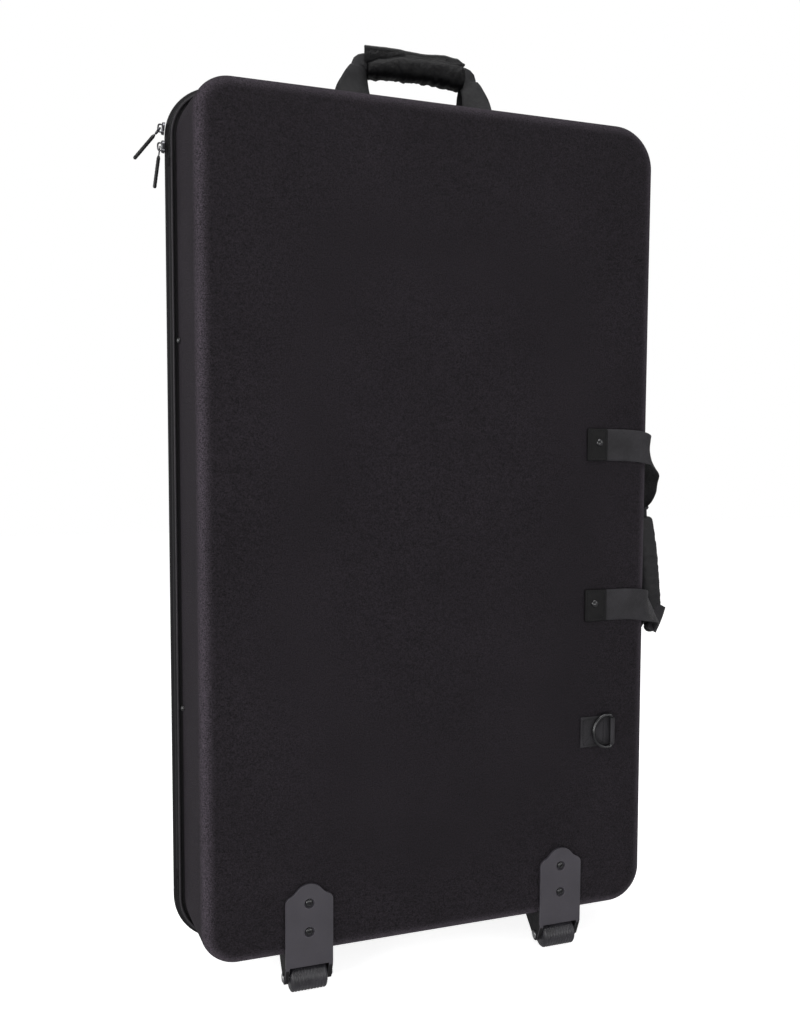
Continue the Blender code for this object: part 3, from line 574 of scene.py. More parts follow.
# ---- zip bands -----------------------------------------------------------------------------------
ARC_X, ARC_Z = -HALF_W + BAND_R, HALF_H - BAND_R
ZIP_END_Z = 0.405
TAPE_LOW_Z = 0.398
BAND_FAR = BAND_D - GAP
TAPE_FAR = 0.0030        # outer face of the tape, which is the floor of the groove
BEAD_R = 0.0013
FRONT_LIP = 0.0060
BACK_LIP = 0.0002
BEAD_STEPS = 9
LEFT_RUNS = 24


def binding(lip, inner=GROOVE + WALL):
    """Section of a half's binding as (inset, distance from the zip line): a tape that runs in under the wall,
    and a piping bead standing up from its outer edge, the lip."""
    near = [(inner, ZIP_HALF), (lip + 0.0012, ZIP_HALF), (lip + 0.0003, ZIP_HALF + 0.0004)]
    near.append((lip, ZIP_HALF + 0.0012))
    bead = arc(lip + BEAD_R, BAND_FAR - BEAD_R, BEAD_R, 195, -30, BEAD_STEPS)
    foot = [(lip + 1.5 * BEAD_R, BAND_FAR - 2.2 * BEAD_R), (lip + 1.7 * BEAD_R, TAPE_FAR)]
    return near + bead + foot + [(inner, TAPE_FAR)]


BEAD_ROWS = range(4, 4 + BEAD_STEPS)


def part_loop(inset, depth, start, end):
    """Open run round the band: from a height on the left side, or from past the top left corner where start
    is None, over the top and round to a height on the left side again."""
    loop = outline(inset, depth, runs=(12, LEFT_RUNS))
    left_x = -HALF_W + inset
    inner_points = LEFT_RUNS - 1
    run = loop[ARC_STEPS:-inner_points] + [p for p in loop[-inner_points:] if p.z < end]
    lead = [] if start is None else [Vector((left_x, depth, start))] + loop[:ARC_STEPS]
    return lead + run + [Vector((left_x, depth, end))]


def piped(name, rows, round_rows, body, columns):
    """A binding from the loops of its section, with its bead in a paler cloth: a painted highlight on the
    rounded bead.
    """
    made = piece(name, *loft(rows, round_rows=round_rows, round_columns=True), TAPE, body, sharp=50)
    made.data.materials.append(PIPING_HIGHLIGHT)
    for polygon in made.data.polygons:
        if polygon.index // columns in BEAD_ROWS:
            polygon.material_index = 1
    return made


front_rows = [outline(inset, -d, runs=(12, LEFT_RUNS)) for inset, d in binding(FRONT_LIP)]
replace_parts(piped("front_zip_binding", front_rows, True, "case_base", len(front_rows[0])), "front_zip_band")
back_rows = [part_loop(inset, d, None, TAPE_LOW_Z - GAP) for inset, d in binding(BACK_LIP)]
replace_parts(piped("back_zip_binding", back_rows, False, "lid", len(back_rows[0]) - 1), "back_zip_band")
tape_rows = []
for inset, d in binding(BACK_LIP, GROOVE - 0.0008):
    run = [Vector((-HALF_W + inset, d, TAPE_LOW_Z))] + outline(inset, d)[:ARC_STEPS + 1]
    run[-1].x = ARC_X - 0.0012
    tape_rows.append(run)
tape_end = piped("zip_tape_parking", tape_rows, False, "case_base", len(tape_rows[0]) - 1)
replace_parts(tape_end, "zip_tape_end")


def band_stitches(name, side, lip, start, end, body):
    """A seam along the foot of the piping, in the groove."""
    inset, d = lip + 2 * BEAD_R + 0.0013, TAPE_FAR + 0.0001
    points = part_loop(inset, side * d, start, end)
    runs = [[(p, (0, side, 0)) for p in points]]
    made = stitches(name, runs, body, pitch=0.0042, length=0.0031, radius=0.00026)


band_stitches("front_band_seam", -1, FRONT_LIP, 0.42, -0.42, "case_base")
band_stitches("back_band_seam", 1, BACK_LIP, None, -0.42, "lid")

COIL_IN = 0.0040         # from the band's outer edge to the teeth
COIL_PITCH = 0.0016


def zip_chain(name, side, start, end, body, shift):
    """Half of a coil zip: a row of teeth on the edge of its tape."""
    path = part_loop(0.0, 0.0, start, end)
    spans = lengths(path)
    parts = []
    i, gone = 0, 0.0
    for k in range(int(sum(spans) / COIL_PITCH) - 1):
        want = (k + shift) * COIL_PITCH
        while want - gone > spans[i]:
            gone += spans[i]
            i += 1
        way = (path[i + 1] - path[i]).normalized()
        centre = path[i] + way * (want - gone)
        inward = Vector((way.z, 0, -way.x))
        if inward.dot(-centre) < 0:
            inward = -inward
        rows = []
        for inset, half in ((0.0, 0.00030), (0.0004, 0.00052), (0.0020, 0.00052), (0.0024, 0.00030)):
            tooth = ((-half, 0.00030), (half, 0.00030), (half, 0.00145), (-half, 0.00145))
            root = centre + inward * (COIL_IN + inset)
            rows.append([root + way * u + Y * (side * v) for u, v in tooth])
        parts.append(loft(rows))
    core = ((0.0022, 0.0006), (0.0030, 0.0006), (0.0030, 0.0015), (0.0022, 0.0015))
    rows = [part_loop(COIL_IN + inset, side * d, start, end) for inset, d in core]
    parts.append(loft(rows, round_rows=False, round_columns=True))
    made = piece(name, *joined(parts), CHAIN, body, sharp=40)
    return made


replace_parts(zip_chain("front_zip_coil", -1, ZIP_END_Z, -ZIP_END_Z, "case_base", 0.25), "front_zip_chain")
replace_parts(zip_chain("back_zip_coil", 1, None, -ZIP_END_Z, "lid", 0.75), "back_zip_chain")


# ---- hinge fabric --------------------------------------------------------------------------------
def hinge_fabric():
    """Strip of tape between the two bands on the hinge side, folded inwards when the case is shut."""
    line = [(0.0120, -0.0014), (0.0080, -0.0014), (0.0056, -0.0013), (0.0045, -0.0008), (0.0041, 0.0)]
    line += [(0.0037, 0.0008), (0.0040, 0.0013), (0.0060, 0.0014), (0.0100, 0.0014)]
    half = 0.0003
    outer, inner = [], []
    for i, (inset, d) in enumerate(line):
        before, after = line[max(i - 1, 0)], line[min(i + 1, len(line) - 1)]
        way = Vector((after[0] - before[0], after[1] - before[1])).normalized()
        outer.append((inset - way.y * half, d + way.x * half))
        inner.append((inset + way.y * half, d - way.x * half))
    heights = np.linspace(-0.395, 0.395, 41)
    rows = [[Vector((-HALF_W + inset, d, z)) for z in heights] for inset, d in outer + inner[::-1]]
    made = piece("hinge_fabric", *loft(rows, round_rows=False, round_columns=True), TAPE)
    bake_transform(made)
    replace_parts(made, "hinge_tape")


hinge_fabric()


# ---- sliders and pulls ---------------------------------------------------------------------------
SLIDER_T = 0.0036
BAIL_N = 0.0049
RING_R = 0.0042
RING_WIRE = 0.0008
PULL_R = 0.0020
PULL_L = 0.036


def slider(label, foot, along, out, tilt):
    """Slider with a bail, and the ring and cord that hang from it at a tilt."""
    foot, along, out = Vector(foot), Vector(along), Vector(out)

    def spot(t, y, n):
        return foot + along * t + Vector((0, y, 0)) + out * n

    left = [(-0.0060, -0.0026), (-0.0052, -0.0034), (-0.0024, -0.0045), (0.0020, -0.0045), (0.0052, -0.0041),
            (0.0060, -0.0033)]
    base = left + [(t, -y) for t, y in reversed(left)]
    shape = ((1.0, GAP), (1.02, 0.0012), (0.99, 0.0019), (1.0, 0.0023), (0.97, 0.0031), (0.86, SLIDER_T))
    rows = [[spot(t * s, y * s, n) for t, y in base] for s, n in shape]
    half_arch = [(-0.0040, 0.0030), (-0.0040, 0.0058), (-0.0024, 0.0071)]
    arch = spline(half_arch + [(-t, n) for t, n in reversed(half_arch)], 5)
    bail = tube([spot(t, 0, n) for t, n in arch], 0.0009, 10)
    skin = joined([loft(rows), loft(bail)])
    made = piece("slider_" + label, *skin, NICKEL, "zip_slider_" + label, sharp=45)
    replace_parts(made, "zip_slider_" + label)

    hang = spot(0, 0, BAIL_N)
    down = Vector((-sin(tilt), 0, -cos(tilt)))
    hoop = []
    for k in range(28):
        a = 2 * pi * k / 28
        spoke = down * -cos(a) + Y * sin(a)
        hoop.append((hang + down * RING_R + spoke * RING_R, spoke))
    face = Y.cross(down)
    rows = [circle(middle, spoke, face, RING_WIRE, 10) for middle, spoke in hoop]
    made = piece("pull_ring_" + label, *loft(rows, round_columns=True), NICKEL, "zip_pull_" + label, sharp=60)
    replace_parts(made, "zip_ring_" + label)

    start = 2 * RING_R + RING_WIRE + GAP
    end = start + PULL_L
    profile = [(start, 0.0004), (start + 0.0003, 0.0010), (start + 0.0012, 0.0014), (start + 0.0035, PULL_R)]
    for k in range(1, 16):
        run = start + 0.0035 + (PULL_L - 0.0065) * k / 16
        profile.append((run, PULL_R * (0.97 + 0.03 * cos(pi * k))))
    profile += [(end - 0.0020, PULL_R), (end - 0.0008, PULL_R * 0.86), (end - 0.0002, PULL_R * 0.5)]
    profile.append((end, 0.0003))
    rows = turned(profile, hang, down, face, 20)
    made = piece("pull_cord_" + label, *loft(rows), PULL, "zip_pull_" + label, sharp=50)
    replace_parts(made, "zip_pull_" + label)


UPPER_ARC = radians(7.2)  # how far round the corner the upper slider is parked
UPPER_TILT, LOWER_TILT = radians(38), radians(8)
LOWER_SLIDER_Z = 0.4154
arc_out = Vector((-cos(UPPER_ARC), 0, sin(UPPER_ARC)))
arc_along = Vector((sin(UPPER_ARC), 0, cos(UPPER_ARC)))
slider("upper", Vector((ARC_X, 0, ARC_Z)) + arc_out * BAND_R, arc_along, arc_out, UPPER_TILT)
slider("lower", (-HALF_W, 0, LOWER_SLIDER_Z), (0, 0, 1), (-1, 0, 0), LOWER_TILT)


# ---- wheel brackets ------------------------------------------------------------------------------
BRACKET_X = 0.1515
BRACKET_W = 0.0525
PLATE_T = 0.003
PLATE_TOP_Z = -0.3835
ARCH_R = 0.0175
SHOULDER_Z = -0.4030
WINDOW_Z = -0.4745
HOUSING_TOP_Z = -0.445
SCREW_ZS = (-0.4050, -0.4368)
ROLLER_R = 0.0155
ROLLER_W = 0.041
ROLLER_Y = -0.0930
ROLLER_Z = FLOOR + ROLLER_R
CHEEK_BACK_Y = -0.060


def plate_outline():
    """Front plate as (x, z): straight sides, rounded shoulders, sloping necks and a wide round top."""
    half = BRACKET_W / 2
    right = [(half, WINDOW_Z), (half, -0.455), (half, -0.430)]
    neck = [(half, SHOULDER_Z), (half - 0.0006, SHOULDER_Z + 0.0025), (half - 0.0022, SHOULDER_Z + 0.0050)]
    neck += [(half - 0.0048, SHOULDER_Z + 0.0068), (half - 0.0085, SHOULDER_Z + 0.0088)]
    neck += arc(0, PLATE_TOP_Z - ARCH_R, ARCH_R, 38, 90, 6)
    right += [tuple(p) for p in spline(neck, 3)]
    return right + [(-x, z) for x, z in reversed(right[:-1])]


def shell_floor(y):
    """Height of the front shell's underside at a depth y, round edge included."""
    into_edge = -y - (FRONT_D - EDGE_R)
    inset = wall_inset(min(-y, FRONT_D - EDGE_R))
    if into_edge > 0:
        inset += EDGE_R - sqrt(EDGE_R ** 2 - min(into_edge, EDGE_R) ** 2)
    return -HALF_H + inset


def bracket_side():
    """Side view of the housing, as (y, z)."""
    front = -FRONT_D - GAP - PLATE_T
    edge = [(front, HOUSING_TOP_Z), (front, WINDOW_Z), (front + 0.0008, WINDOW_Z - 0.0030)]
    edge += [(ROLLER_Y - 0.0060, ROLLER_Z - 0.0035)]
    edge += arc(ROLLER_Y + 0.0005, ROLLER_Z - 0.0008, 0.0064, 205, 330, 8)
    edge += [(ROLLER_Y + 0.0085, ROLLER_Z - 0.0005), (CHEEK_BACK_Y - 0.006, -0.4765)]
    edge += arc(CHEEK_BACK_Y - 0.0035, -0.4725, 0.0035, -60, 0, 4)
    edge_start = EDGE_R - FRONT_D
    shell_line = list(np.linspace(CHEEK_BACK_Y, edge_start, 4))
    shell_line += [edge_start - EDGE_R * share for share in (0.2, 0.35, 0.5, 0.62, 0.73, 0.82, 0.90, 0.95)]
    edge += [(float(y), shell_floor(float(y)) - 2 * GAP) for y in shell_line]
    edge += [(-FRONT_D - GAP, -0.4575), (-FRONT_D - GAP, HOUSING_TOP_Z)]
    return edge


def bracket(label, x):
    """Wheel bracket with its roller, axle pin and two screws."""
    half = BRACKET_W / 2
    front = -FRONT_D - GAP - PLATE_T
    on_axle = ((x, ROLLER_Y, ROLLER_Z), (1, 0, 0), (0, 0, -1))
    rows = [[Vector((x + s * half, y, z)) for y, z in bracket_side()] for s in (-1, 1)]
    made = piece("bracket_" + label, *loft(rows), PLASTIC)
    plate = [[Vector((x + u, y, z)) for u, z in plate_outline()] for y in (front, -FRONT_D - GAP)]
    cut(made, loft(plate), "UNION")
    pocket = ROLLER_W / 2 + 0.0013
    cut(made, box_skin((x - pocket, -0.120, -0.520), (x + pocket, -0.052, WINDOW_Z)))
    for z in SCREW_ZS:
        seat = [(-0.004, 0.0062), (0.0004, 0.0058), (0.0022, 0.0046)]
        cut(made, loft(turned(seat, (x, front, z), (0, 1, 0), (0, 0, 1), 32)))
    hole = [(-0.04, 0.0035), (0.04, 0.0035)]
    cut(made, loft(turned(hole, *on_axle, 24)))
    made.data.materials.clear()
    for finish in (PLASTIC, CHEEK, EDGE_HIGHLIGHT):
        made.data.materials.append(finish)
    for polygon in made.data.polygons:
        if (polygon.center - ZERO).y > front + PLATE_T:
            polygon.material_index = 1
    # The bevel's new faces take the paler plastic, a painted highlight along the plate's edges
    bevel(made, 32).material = 2
    made.data.shade_smooth()
    made.data.set_sharp_from_angle(angle=radians(32))
    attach(made, "case_base")
    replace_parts(made, "wheel_bracket_" + label)

    wide = ROLLER_W / 2
    profile = [(-wide, 0.0034), (-wide, ROLLER_R - 0.0034), (-wide + 0.0004, ROLLER_R - 0.0026)]
    profile += [(-wide + 0.0012, ROLLER_R - 0.0010), (-wide + 0.0024, ROLLER_R - 0.0001)]
    steps = 80               # eight to each of the ten ribs
    span = 2 * (wide - 0.0030)
    for k in range(steps + 1):
        run = -span / 2 + span * k / steps
        profile.append((run, ROLLER_R - 0.00045 * (0.5 - 0.5 * cos(2 * pi * k / 8)) ** 2))
    profile += [(-u, r) for u, r in reversed(profile[:5])]
    rows = turned(profile, *on_axle, 64)
    made = piece("roller_tyre_" + label, *loft(rows, round_columns=True), ROLLER, "roller_" + label, sharp=50)
    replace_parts(made, "roller_" + label)

    head = half + GAP
    right = [(head, 0.0030), (head, 0.0046), (head + 0.0008, 0.0046), (head + 0.0014, 0.0040)]
    right += [(head + 0.0016, 0.0024), (head + 0.0012, 0.0018), (head + 0.0012, 0.0002)]
    profile = [(-u, r) for u, r in reversed(right)] + right
    rows = turned(profile, *on_axle, 32)
    made = piece("roller_pin_" + label, *loft(rows), STEEL, "case_base", sharp=40)
    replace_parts(made, "axle_" + label)

    inner = -FRONT_D + WALL + GAP
    for number, z in enumerate(SCREW_ZS, 1):
        profile = [(0.0012, 0.0002), (0.0012, 0.0009), (-0.0001, 0.0013), (-0.0002, 0.0016), (0.0001, 0.0027)]
        profile += [(0.0006, 0.0037), (0.0013, 0.0042), (0.0021, 0.0043), (0.0021, 0.0020)]
        profile += [(inner - front + 0.0029, 0.0020), (inner - front + 0.0029, 0.0032)]
        profile += [(inner - front + 0.0036, 0.0030), (inner - front + 0.0036, 0.0002)]
        rows = turned(profile, (x, front, z), (0, 1, 0), (0, 0, 1), 32)
        made = piece(f"bracket_screw_{label}_{number}", *loft(rows), BLACK_METAL, "case_base", sharp=40)
        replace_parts(made, f"screw_{label}_{number}")


bracket("left", -BRACKET_X)
bracket("right", BRACKET_X)

for label in ("left", "right"):
    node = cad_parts["backing_plate_" + label]
    node.data.materials.clear()
    node.data.materials.append(STEEL)


# ---- rear feet -----------------------------------------------------------------------------------
def rear_foot(label):
    """Rubber block with a grooved tread and rounded edges."""
    low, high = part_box("rear_foot_" + label)
    low, high = low - ZERO, high - ZERO
    x = (low.x + high.x) / 2
    top_w, base_w = (high.x - low.x) / 2, (high.x - low.x) / 2 - 0.005
    rows = []
    for share in np.linspace(0, 1, 9):
        wide = top_w + (base_w - top_w) * share ** 0.8
        near, far = low.y + 0.003 * share, high.y - 0.004 * share
        corners = []
        for u, v in ((-1, 0), (1, 0), (1, 1), (-1, 1)):
            y = near if v == 0 else far
            top = -HALF_H + wall_inset(y) - 0.0006 + max(0.0, y - BACK_D + EDGE_R) ** 2 / (2 * EDGE_R)
            corners.append(Vector((x + u * wide, y, top + (FLOOR - top) * share)))
        rows.append(corners)
    made = piece("foot_block_" + label, *loft(rows), FOOT)
    for k in (-1, 0, 1):
        middle = x + 0.008 * k
        cut(made, box_skin((middle - 0.0012, low.y - 0.01, FLOOR - 0.01),
                           (middle + 0.0012, high.y + 0.01, FLOOR + 0.0012)))
    bevel(made, 35)
    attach(made, "lid")
    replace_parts(made, "rear_foot_" + label)


rear_foot("left")
rear_foot("right")


# ---- straps --------------------------------------------------------------------------------------
def strap(name, stations, finish, steps=6, body=None):
    """Webbing through stations of (centre, width direction, width), with rounded selvedges."""
    curve = spline([(*c, *Vector(a).normalized(), w) for c, a, w in stations], steps)
    centres = [Vector(p[:3]) for p in curve]
    rows, uv = [], []
    run = 0.0
    for i, p in enumerate(curve):
        before, after = centres[max(i - 1, 0)], centres[min(i + 1, len(curve) - 1)]
        forward = (after - before).normalized()
        across = Vector(p[3:6])
        across = (across - forward * across.dot(forward)).normalized()
        normal = forward.cross(across)
        if i:
            run += (centres[i] - centres[i - 1]).length
        half, thick = p[6] / 2, WEB_T / 2
        edge = [(-half + 0.0006, -0.8), (-half, 0.0), (-half + 0.0006, 0.8)]
        top = [(half * s, 1.0) for s in (-0.85, -0.45, 0.0, 0.45, 0.85)]
        section = edge + top + [(-u, -v) for u, v in edge] + [(-u, -v) for u, v in top]
        rows.append([centres[i] + across * u + normal * (v * thick) for u, v in section])
        uv += [(u, run) for u, _ in section]
    made = piece(name, *loft(rows), finish, body, sharp=70, uv=uv)
    return made


def flip(stations, mirror):
    """Stations for the front half, or mirrored in the zip plane for the back half."""
    return [((p[0], p[1] * mirror, p[2]), (a[0], a[1] * mirror, a[2]), w) for p, a, w in stations]


def rivet(name, point, outward, grip, body, head=0.0047):
    """Domed rivet. Point is the middle of its head's underside."""
    dome = [(0.0029 * cos(radians(a)), head * sin(radians(a))) for a in (3, 12, 24, 36, 48, 60, 72, 84)]
    profile = dome + [(0.0, head), (0.0, 0.0019), (-grip, 0.0019), (-grip, 0.0034), (-grip - 0.0011, 0.0030)]
    profile.append((-grip - 0.0011, 0.0002))
    made = piece(name, *loft(turned(profile, point, outward, (0, 0, 1), 28)), BLACK_METAL, body, sharp=40)
    return made


def patch(name, x0, x1, z0, z1, face, side, body):
    """Leather patch with rounded corners, a soft edge and a slightly sunken seam line."""
    cx, cz = (x0 + x1) / 2, (z0 + z1) / 2
    hx, hz = (x1 - x0) / 2, (z1 - z0) / 2

    def rim(inset, lift, radius):
        w, h = hx - inset, hz - inset
        points = []
        for sx, sz, start in ((1, 1, 0), (-1, 1, 90), (-1, -1, 180), (1, -1, 270)):
            for u, v in arc(sx * (w - radius), sz * (h - radius), radius, start, start + 90, 5):
                y = face + side * (lift + crown(cx + u, cz + v))
                points.append(Vector((cx + u, y, cz + v)))
        return points

    levels = [(0.0, -0.0004), (0.0, PATCH_T * 0.62), (0.0004, PATCH_T * 0.88), (0.0011, PATCH_T)]
    levels += [(0.0022, PATCH_T * 0.90), (0.0030, PATCH_T * 0.86), (0.0040, PATCH_T * 0.95)]
    levels += [(0.0070, PATCH_T * 1.02), (0.0110, PATCH_T * 1.04)]
    rows = [rim(i, lift, max(0.0006, 0.0016 - i * 0.2)) for i, lift in levels]
    made = piece(name, *loft(rows), LEATHER, body, sharp=60)
    return made


def patch_seam(name, x0, x1, z0, z1, face, side, body, lift, inset=0.0028):
    """Stitched border and its diagonals."""
    def spot(x, z):
        return Vector((x, face + side * (lift + crown(x, z)), z))

    x0, x1, z0, z1 = x0 + inset, x1 - inset, z0 + inset, z1 - inset
    a, b, c, d = (x0, z0), (x1, z0), (x1, z1), (x0, z1)
    out = Vector((0, side, 0))
    lines = ((a, b), (b, c), (c, d), (d, a), (a, c), (b, d))
    runs = [[(spot(*p), out), (spot(*q), out)] for p, q in lines]
    made = stitches(name, runs, body)
    return made


SIDE_PATCHES = ((0.0930, 0.1788, 0.2049, 0.1939), (-0.0960, 0.1788, 0.2070, 0.1909))
PATCH_H = 0.0377
BAR_Y = -0.0035


def side_bar_x(z):
    """The side grip leans out towards its lower end."""
    return 0.3180 - 0.127 * z


def side_stations(depth, bar_w):
    """Front strap of the side handle: from under the upper patch, turning edge-on round the case's edge, down
    through the grip and back under the lower patch. depth is that of the half it is sewn to."""
    start = 0.2010
    up, out = (0, 0, 1), (1, 0, 0)
    face = depth + 0.0017
    edge_x = HALF_W - wall_inset(depth - EDGE_R)

    def back(share):
        """A depth between the strap's plane on the face and the zip line."""
        return (share - 1) * face

    return [
        ((start, -face + 0.0003, 0.0930), up, 0.0370),
        ((0.2150, -face, 0.0929), up, 0.0370),
        ((0.2320, -face, 0.0925), up, 0.0370),
        ((edge_x - 0.0165, -face, 0.0910), up, 0.0368),
        ((edge_x - 0.0035, back(0.025), 0.0872), (0.03, 0.06, 1), 0.0352),
        ((edge_x + 0.0030, back(0.13), 0.0820), (-0.16, 0.48, 0.86), 0.0345),
        ((edge_x + 0.0135, back(0.29), 0.0760), (-0.22, 0.72, 0.70), 0.0360),
        ((0.2975, back(0.49), 0.0635), (0.0, 0.97, 0.30), 0.0350),
        ((0.3050, back(0.65), 0.0460), (-0.08, 1, 0.05), 0.0340),
        ((0.3105, back(0.76), 0.0320), (0.10, 1, 0), 0.0310),
        ((0.3145, back(0.85), 0.0210), (0.50, 0.85, 0), 0.0270),
        ((0.3168, 2.2 * BAR_Y, 0.0115), (0.9, 0.4, 0), 0.0220),
        ((side_bar_x(0.0020), BAR_Y, 0.0020), out, bar_w),
        ((side_bar_x(-0.0640), BAR_Y, -0.0640), out, bar_w),
        ((side_bar_x(-0.1340), BAR_Y, -0.1340), out, bar_w),
        ((0.3335, 2.5 * BAR_Y, -0.1420), (1, 0.20, 0.30), 0.0220),
        ((0.3230, back(0.76), -0.1360), (0.75, 0.60, 0.45), 0.0290),
        ((0.3075, back(0.56), -0.1250), (0.20, 0.90, 0.55), 0.0345),
        ((0.2935, back(0.32), -0.1120), (-0.10, 0.60, 0.80), 0.0365),
        ((edge_x + 0.0085, back(0.13), -0.1040), (-0.16, 0.26, 1), 0.0369),
        ((edge_x - 0.0030, back(0.025), -0.1000), (0, 0.05, 1), 0.0370),
        ((edge_x - 0.0183, -face, -0.0970), up, 0.0370),
        ((0.2320, -face, -0.0960), up, 0.0370),
        ((0.2150, -face, -0.0960), up, 0.0370),
        ((start, -face + 0.0003, -0.0960), up, 0.0370),
    ]


for half, side, depth, body in HALVES:
    face = side * (depth + GAP)
    for where, (z, x0, x1, rivet_x) in zip(("upper", "lower"), SIDE_PATCHES):
        z0, z1 = z - PATCH_H / 2, z + PATCH_H / 2
        made = patch(f"handle_patch_{half}_{where}", x0, x1, z0, z1, face, side, body)
        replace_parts(made, f"side_patch_{half}_{where}")
        patch_seam(f"handle_patch_seam_{half}_{where}", x0, x1, z0, z1, face, side, body, PATCH_T * 0.90)
        foot = (rivet_x, face + side * (PATCH_T + crown(rivet_x, z)), z + 0.0025)
        made = rivet(f"handle_rivet_{half}_{where}", foot, (0, side, 0), PATCH_T + WALL, body)
        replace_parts(made, f"side_rivet_{half}_{where}")
    stations = side_stations(depth, 0.018 if side < 0 else 0.013)
    made = strap(f"side_webbing_{half}", flip(stations, -side), WEBBING)
    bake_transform(made)
    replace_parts(made, f"side_strap_{half}")


def strap_flap():
    """Loose end of the webbing, folded out below the grip."""
    across = (0.86, 0, -0.50)
    stations = [((0.3225, -0.047, -0.1112), across, 0.0142), ((0.3175, -0.049, -0.1210), across, 0.0147),
                ((0.3118, -0.050, -0.1315), across, 0.0153), ((0.3060, -0.050, -0.1420), across, 0.0158)]
    made = strap("side_webbing_end", stations, WEBBING, body="side_handle_front")


strap_flap()


# ---- top handle ----------------------------------------------------------------------------------
TOP_TAB_X = 0.0765
TOP_PIVOT_Y = 0.0155
TOP_BAR_Z = 0.534
TOP_GRIP_HALF = 0.0595
TOP_FOOT_LIFT = 0.0040


def top_stations(pivot_y, bar_y, bar_w):
    """Front strap of the top handle: from the left tab up through the grip and down to the right tab."""
    across = (1, 0, 0)
    foot_z = HALF_H - wall_inset(abs(pivot_y)) + TOP_FOOT_LIFT
    tab_y = pivot_y - 0.020
    tab_z = HALF_H - wall_inset(abs(tab_y)) + 0.0012
    left = [
        ((-TOP_TAB_X, tab_y, tab_z), across, 0.0385),
        ((-TOP_TAB_X, pivot_y - 0.006, tab_z + 0.0018), across, 0.0385),
        ((-TOP_TAB_X, pivot_y, foot_z + 0.0020), across, 0.0385),
        ((-TOP_TAB_X, pivot_y * 0.75, foot_z + 0.0125), across, 0.0385),
        ((-TOP_TAB_X + 0.0015, pivot_y * 0.55, foot_z + 0.0255), (1, 0.1, -0.25), 0.0370),
        ((-TOP_TAB_X + 0.0050, pivot_y * 0.40, foot_z + 0.0375), (1, 0.2, -0.75), 0.0310),
        ((-TOP_TAB_X + 0.0090, bar_y, foot_z + 0.0470), (0.75, 0.1, -1), 0.0240),
        ((-TOP_GRIP_HALF - 0.0025, bar_y, TOP_BAR_Z + 0.001), (0.05, 0, -1), bar_w),
    ]
    middle = [((x, bar_y, TOP_BAR_Z + 0.003), (0, 0, -1), bar_w) for x in (-0.018, 0.018)]
    right = []
    for i, (p, a, w) in enumerate(reversed(left)):
        turn = a[2] if i > 2 else -abs(a[2])
        right.append(((-p[0], p[1], p[2]), (-a[0], -a[1], turn), w))
    return left + middle + right


for half, side, _, body in HALVES:
    stations = top_stations(-TOP_PIVOT_Y, BAR_Y, 0.019 if side < 0 else 0.013)
    made = strap(f"top_webbing_{half}", flip(stations, -side), TOP_WEBBING)
    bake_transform(made)
    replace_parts(made, f"top_strap_{half}", f"top_tab_{half}_left", f"top_tab_{half}_right")


# ---- grips ---------------------------------------------------------------------------------------
def along(values, t):
    """Value of a smooth curve through (t, value) pairs."""
    for (a, p), (b, q) in zip(values, values[1:]):
        if t <= b:
            share = (t - a) / (b - a)
            share = share * share * (3 - 2 * share)
            return p + (q - p) * share
    return values[-1][1]


def wrap(name, middle, run, outward, length, half_u, half_v, bend, body, seed):
    """Padded wrap round two straps: middle is its centre, run its long direction and outward the direction
    of its thick side."""
    run, outward = Vector(run).normalized(), Vector(outward)
    outward = (outward - run * outward.dot(run)).normalized()
    deep = run.cross(outward)
    rows = []
    count, around = 72, 48
    for i in range(count + 1):
        t = -1 + 2 * i / count
        end = (1 - abs(t) ** 14) ** 0.5
        swell = 0.93 + 0.07 * (1 - t * t)
        row = []
        for j in range(around):
            a = 2 * pi * j / around
            u, v = bulge(cos(a), 0.75), bulge(sin(a), 0.75)
            crease = noise.noise(Vector((t * 9 + seed, cos(a) * 1.3, sin(a) * 1.3)))
            fine = noise.noise(Vector((t * 26 + seed, cos(a) * 2.1 + 4, sin(a) * 2.1)))
            size = swell * (0.80 + 0.20 * end) * (1 + 0.055 * crease + 0.022 * fine)
            place = Vector(middle) + run * (t * length / 2) + outward * (bend * (1 - t * t))
            row.append(place + outward * (u * half_u * size) + deep * (v * half_v * size))
        rows.append(row)
    made = piece(name, *loft(rows), GRIP, body, sharp=60)
    return made


SIDE_GRIP_L = 0.128
grip_ends = [Vector((side_bar_x(z) + 0.0010, 0, z)) for z in (-0.001, -0.128)]
side_wrap = wrap("side_grip_wrap", (grip_ends[0] + grip_ends[1]) / 2, grip_ends[1] - grip_ends[0], (1, 0, 0),
                 SIDE_GRIP_L, 0.0155, 0.0150, 0.0008, "side_handle_front", 3.0)
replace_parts(side_wrap, "side_grip")


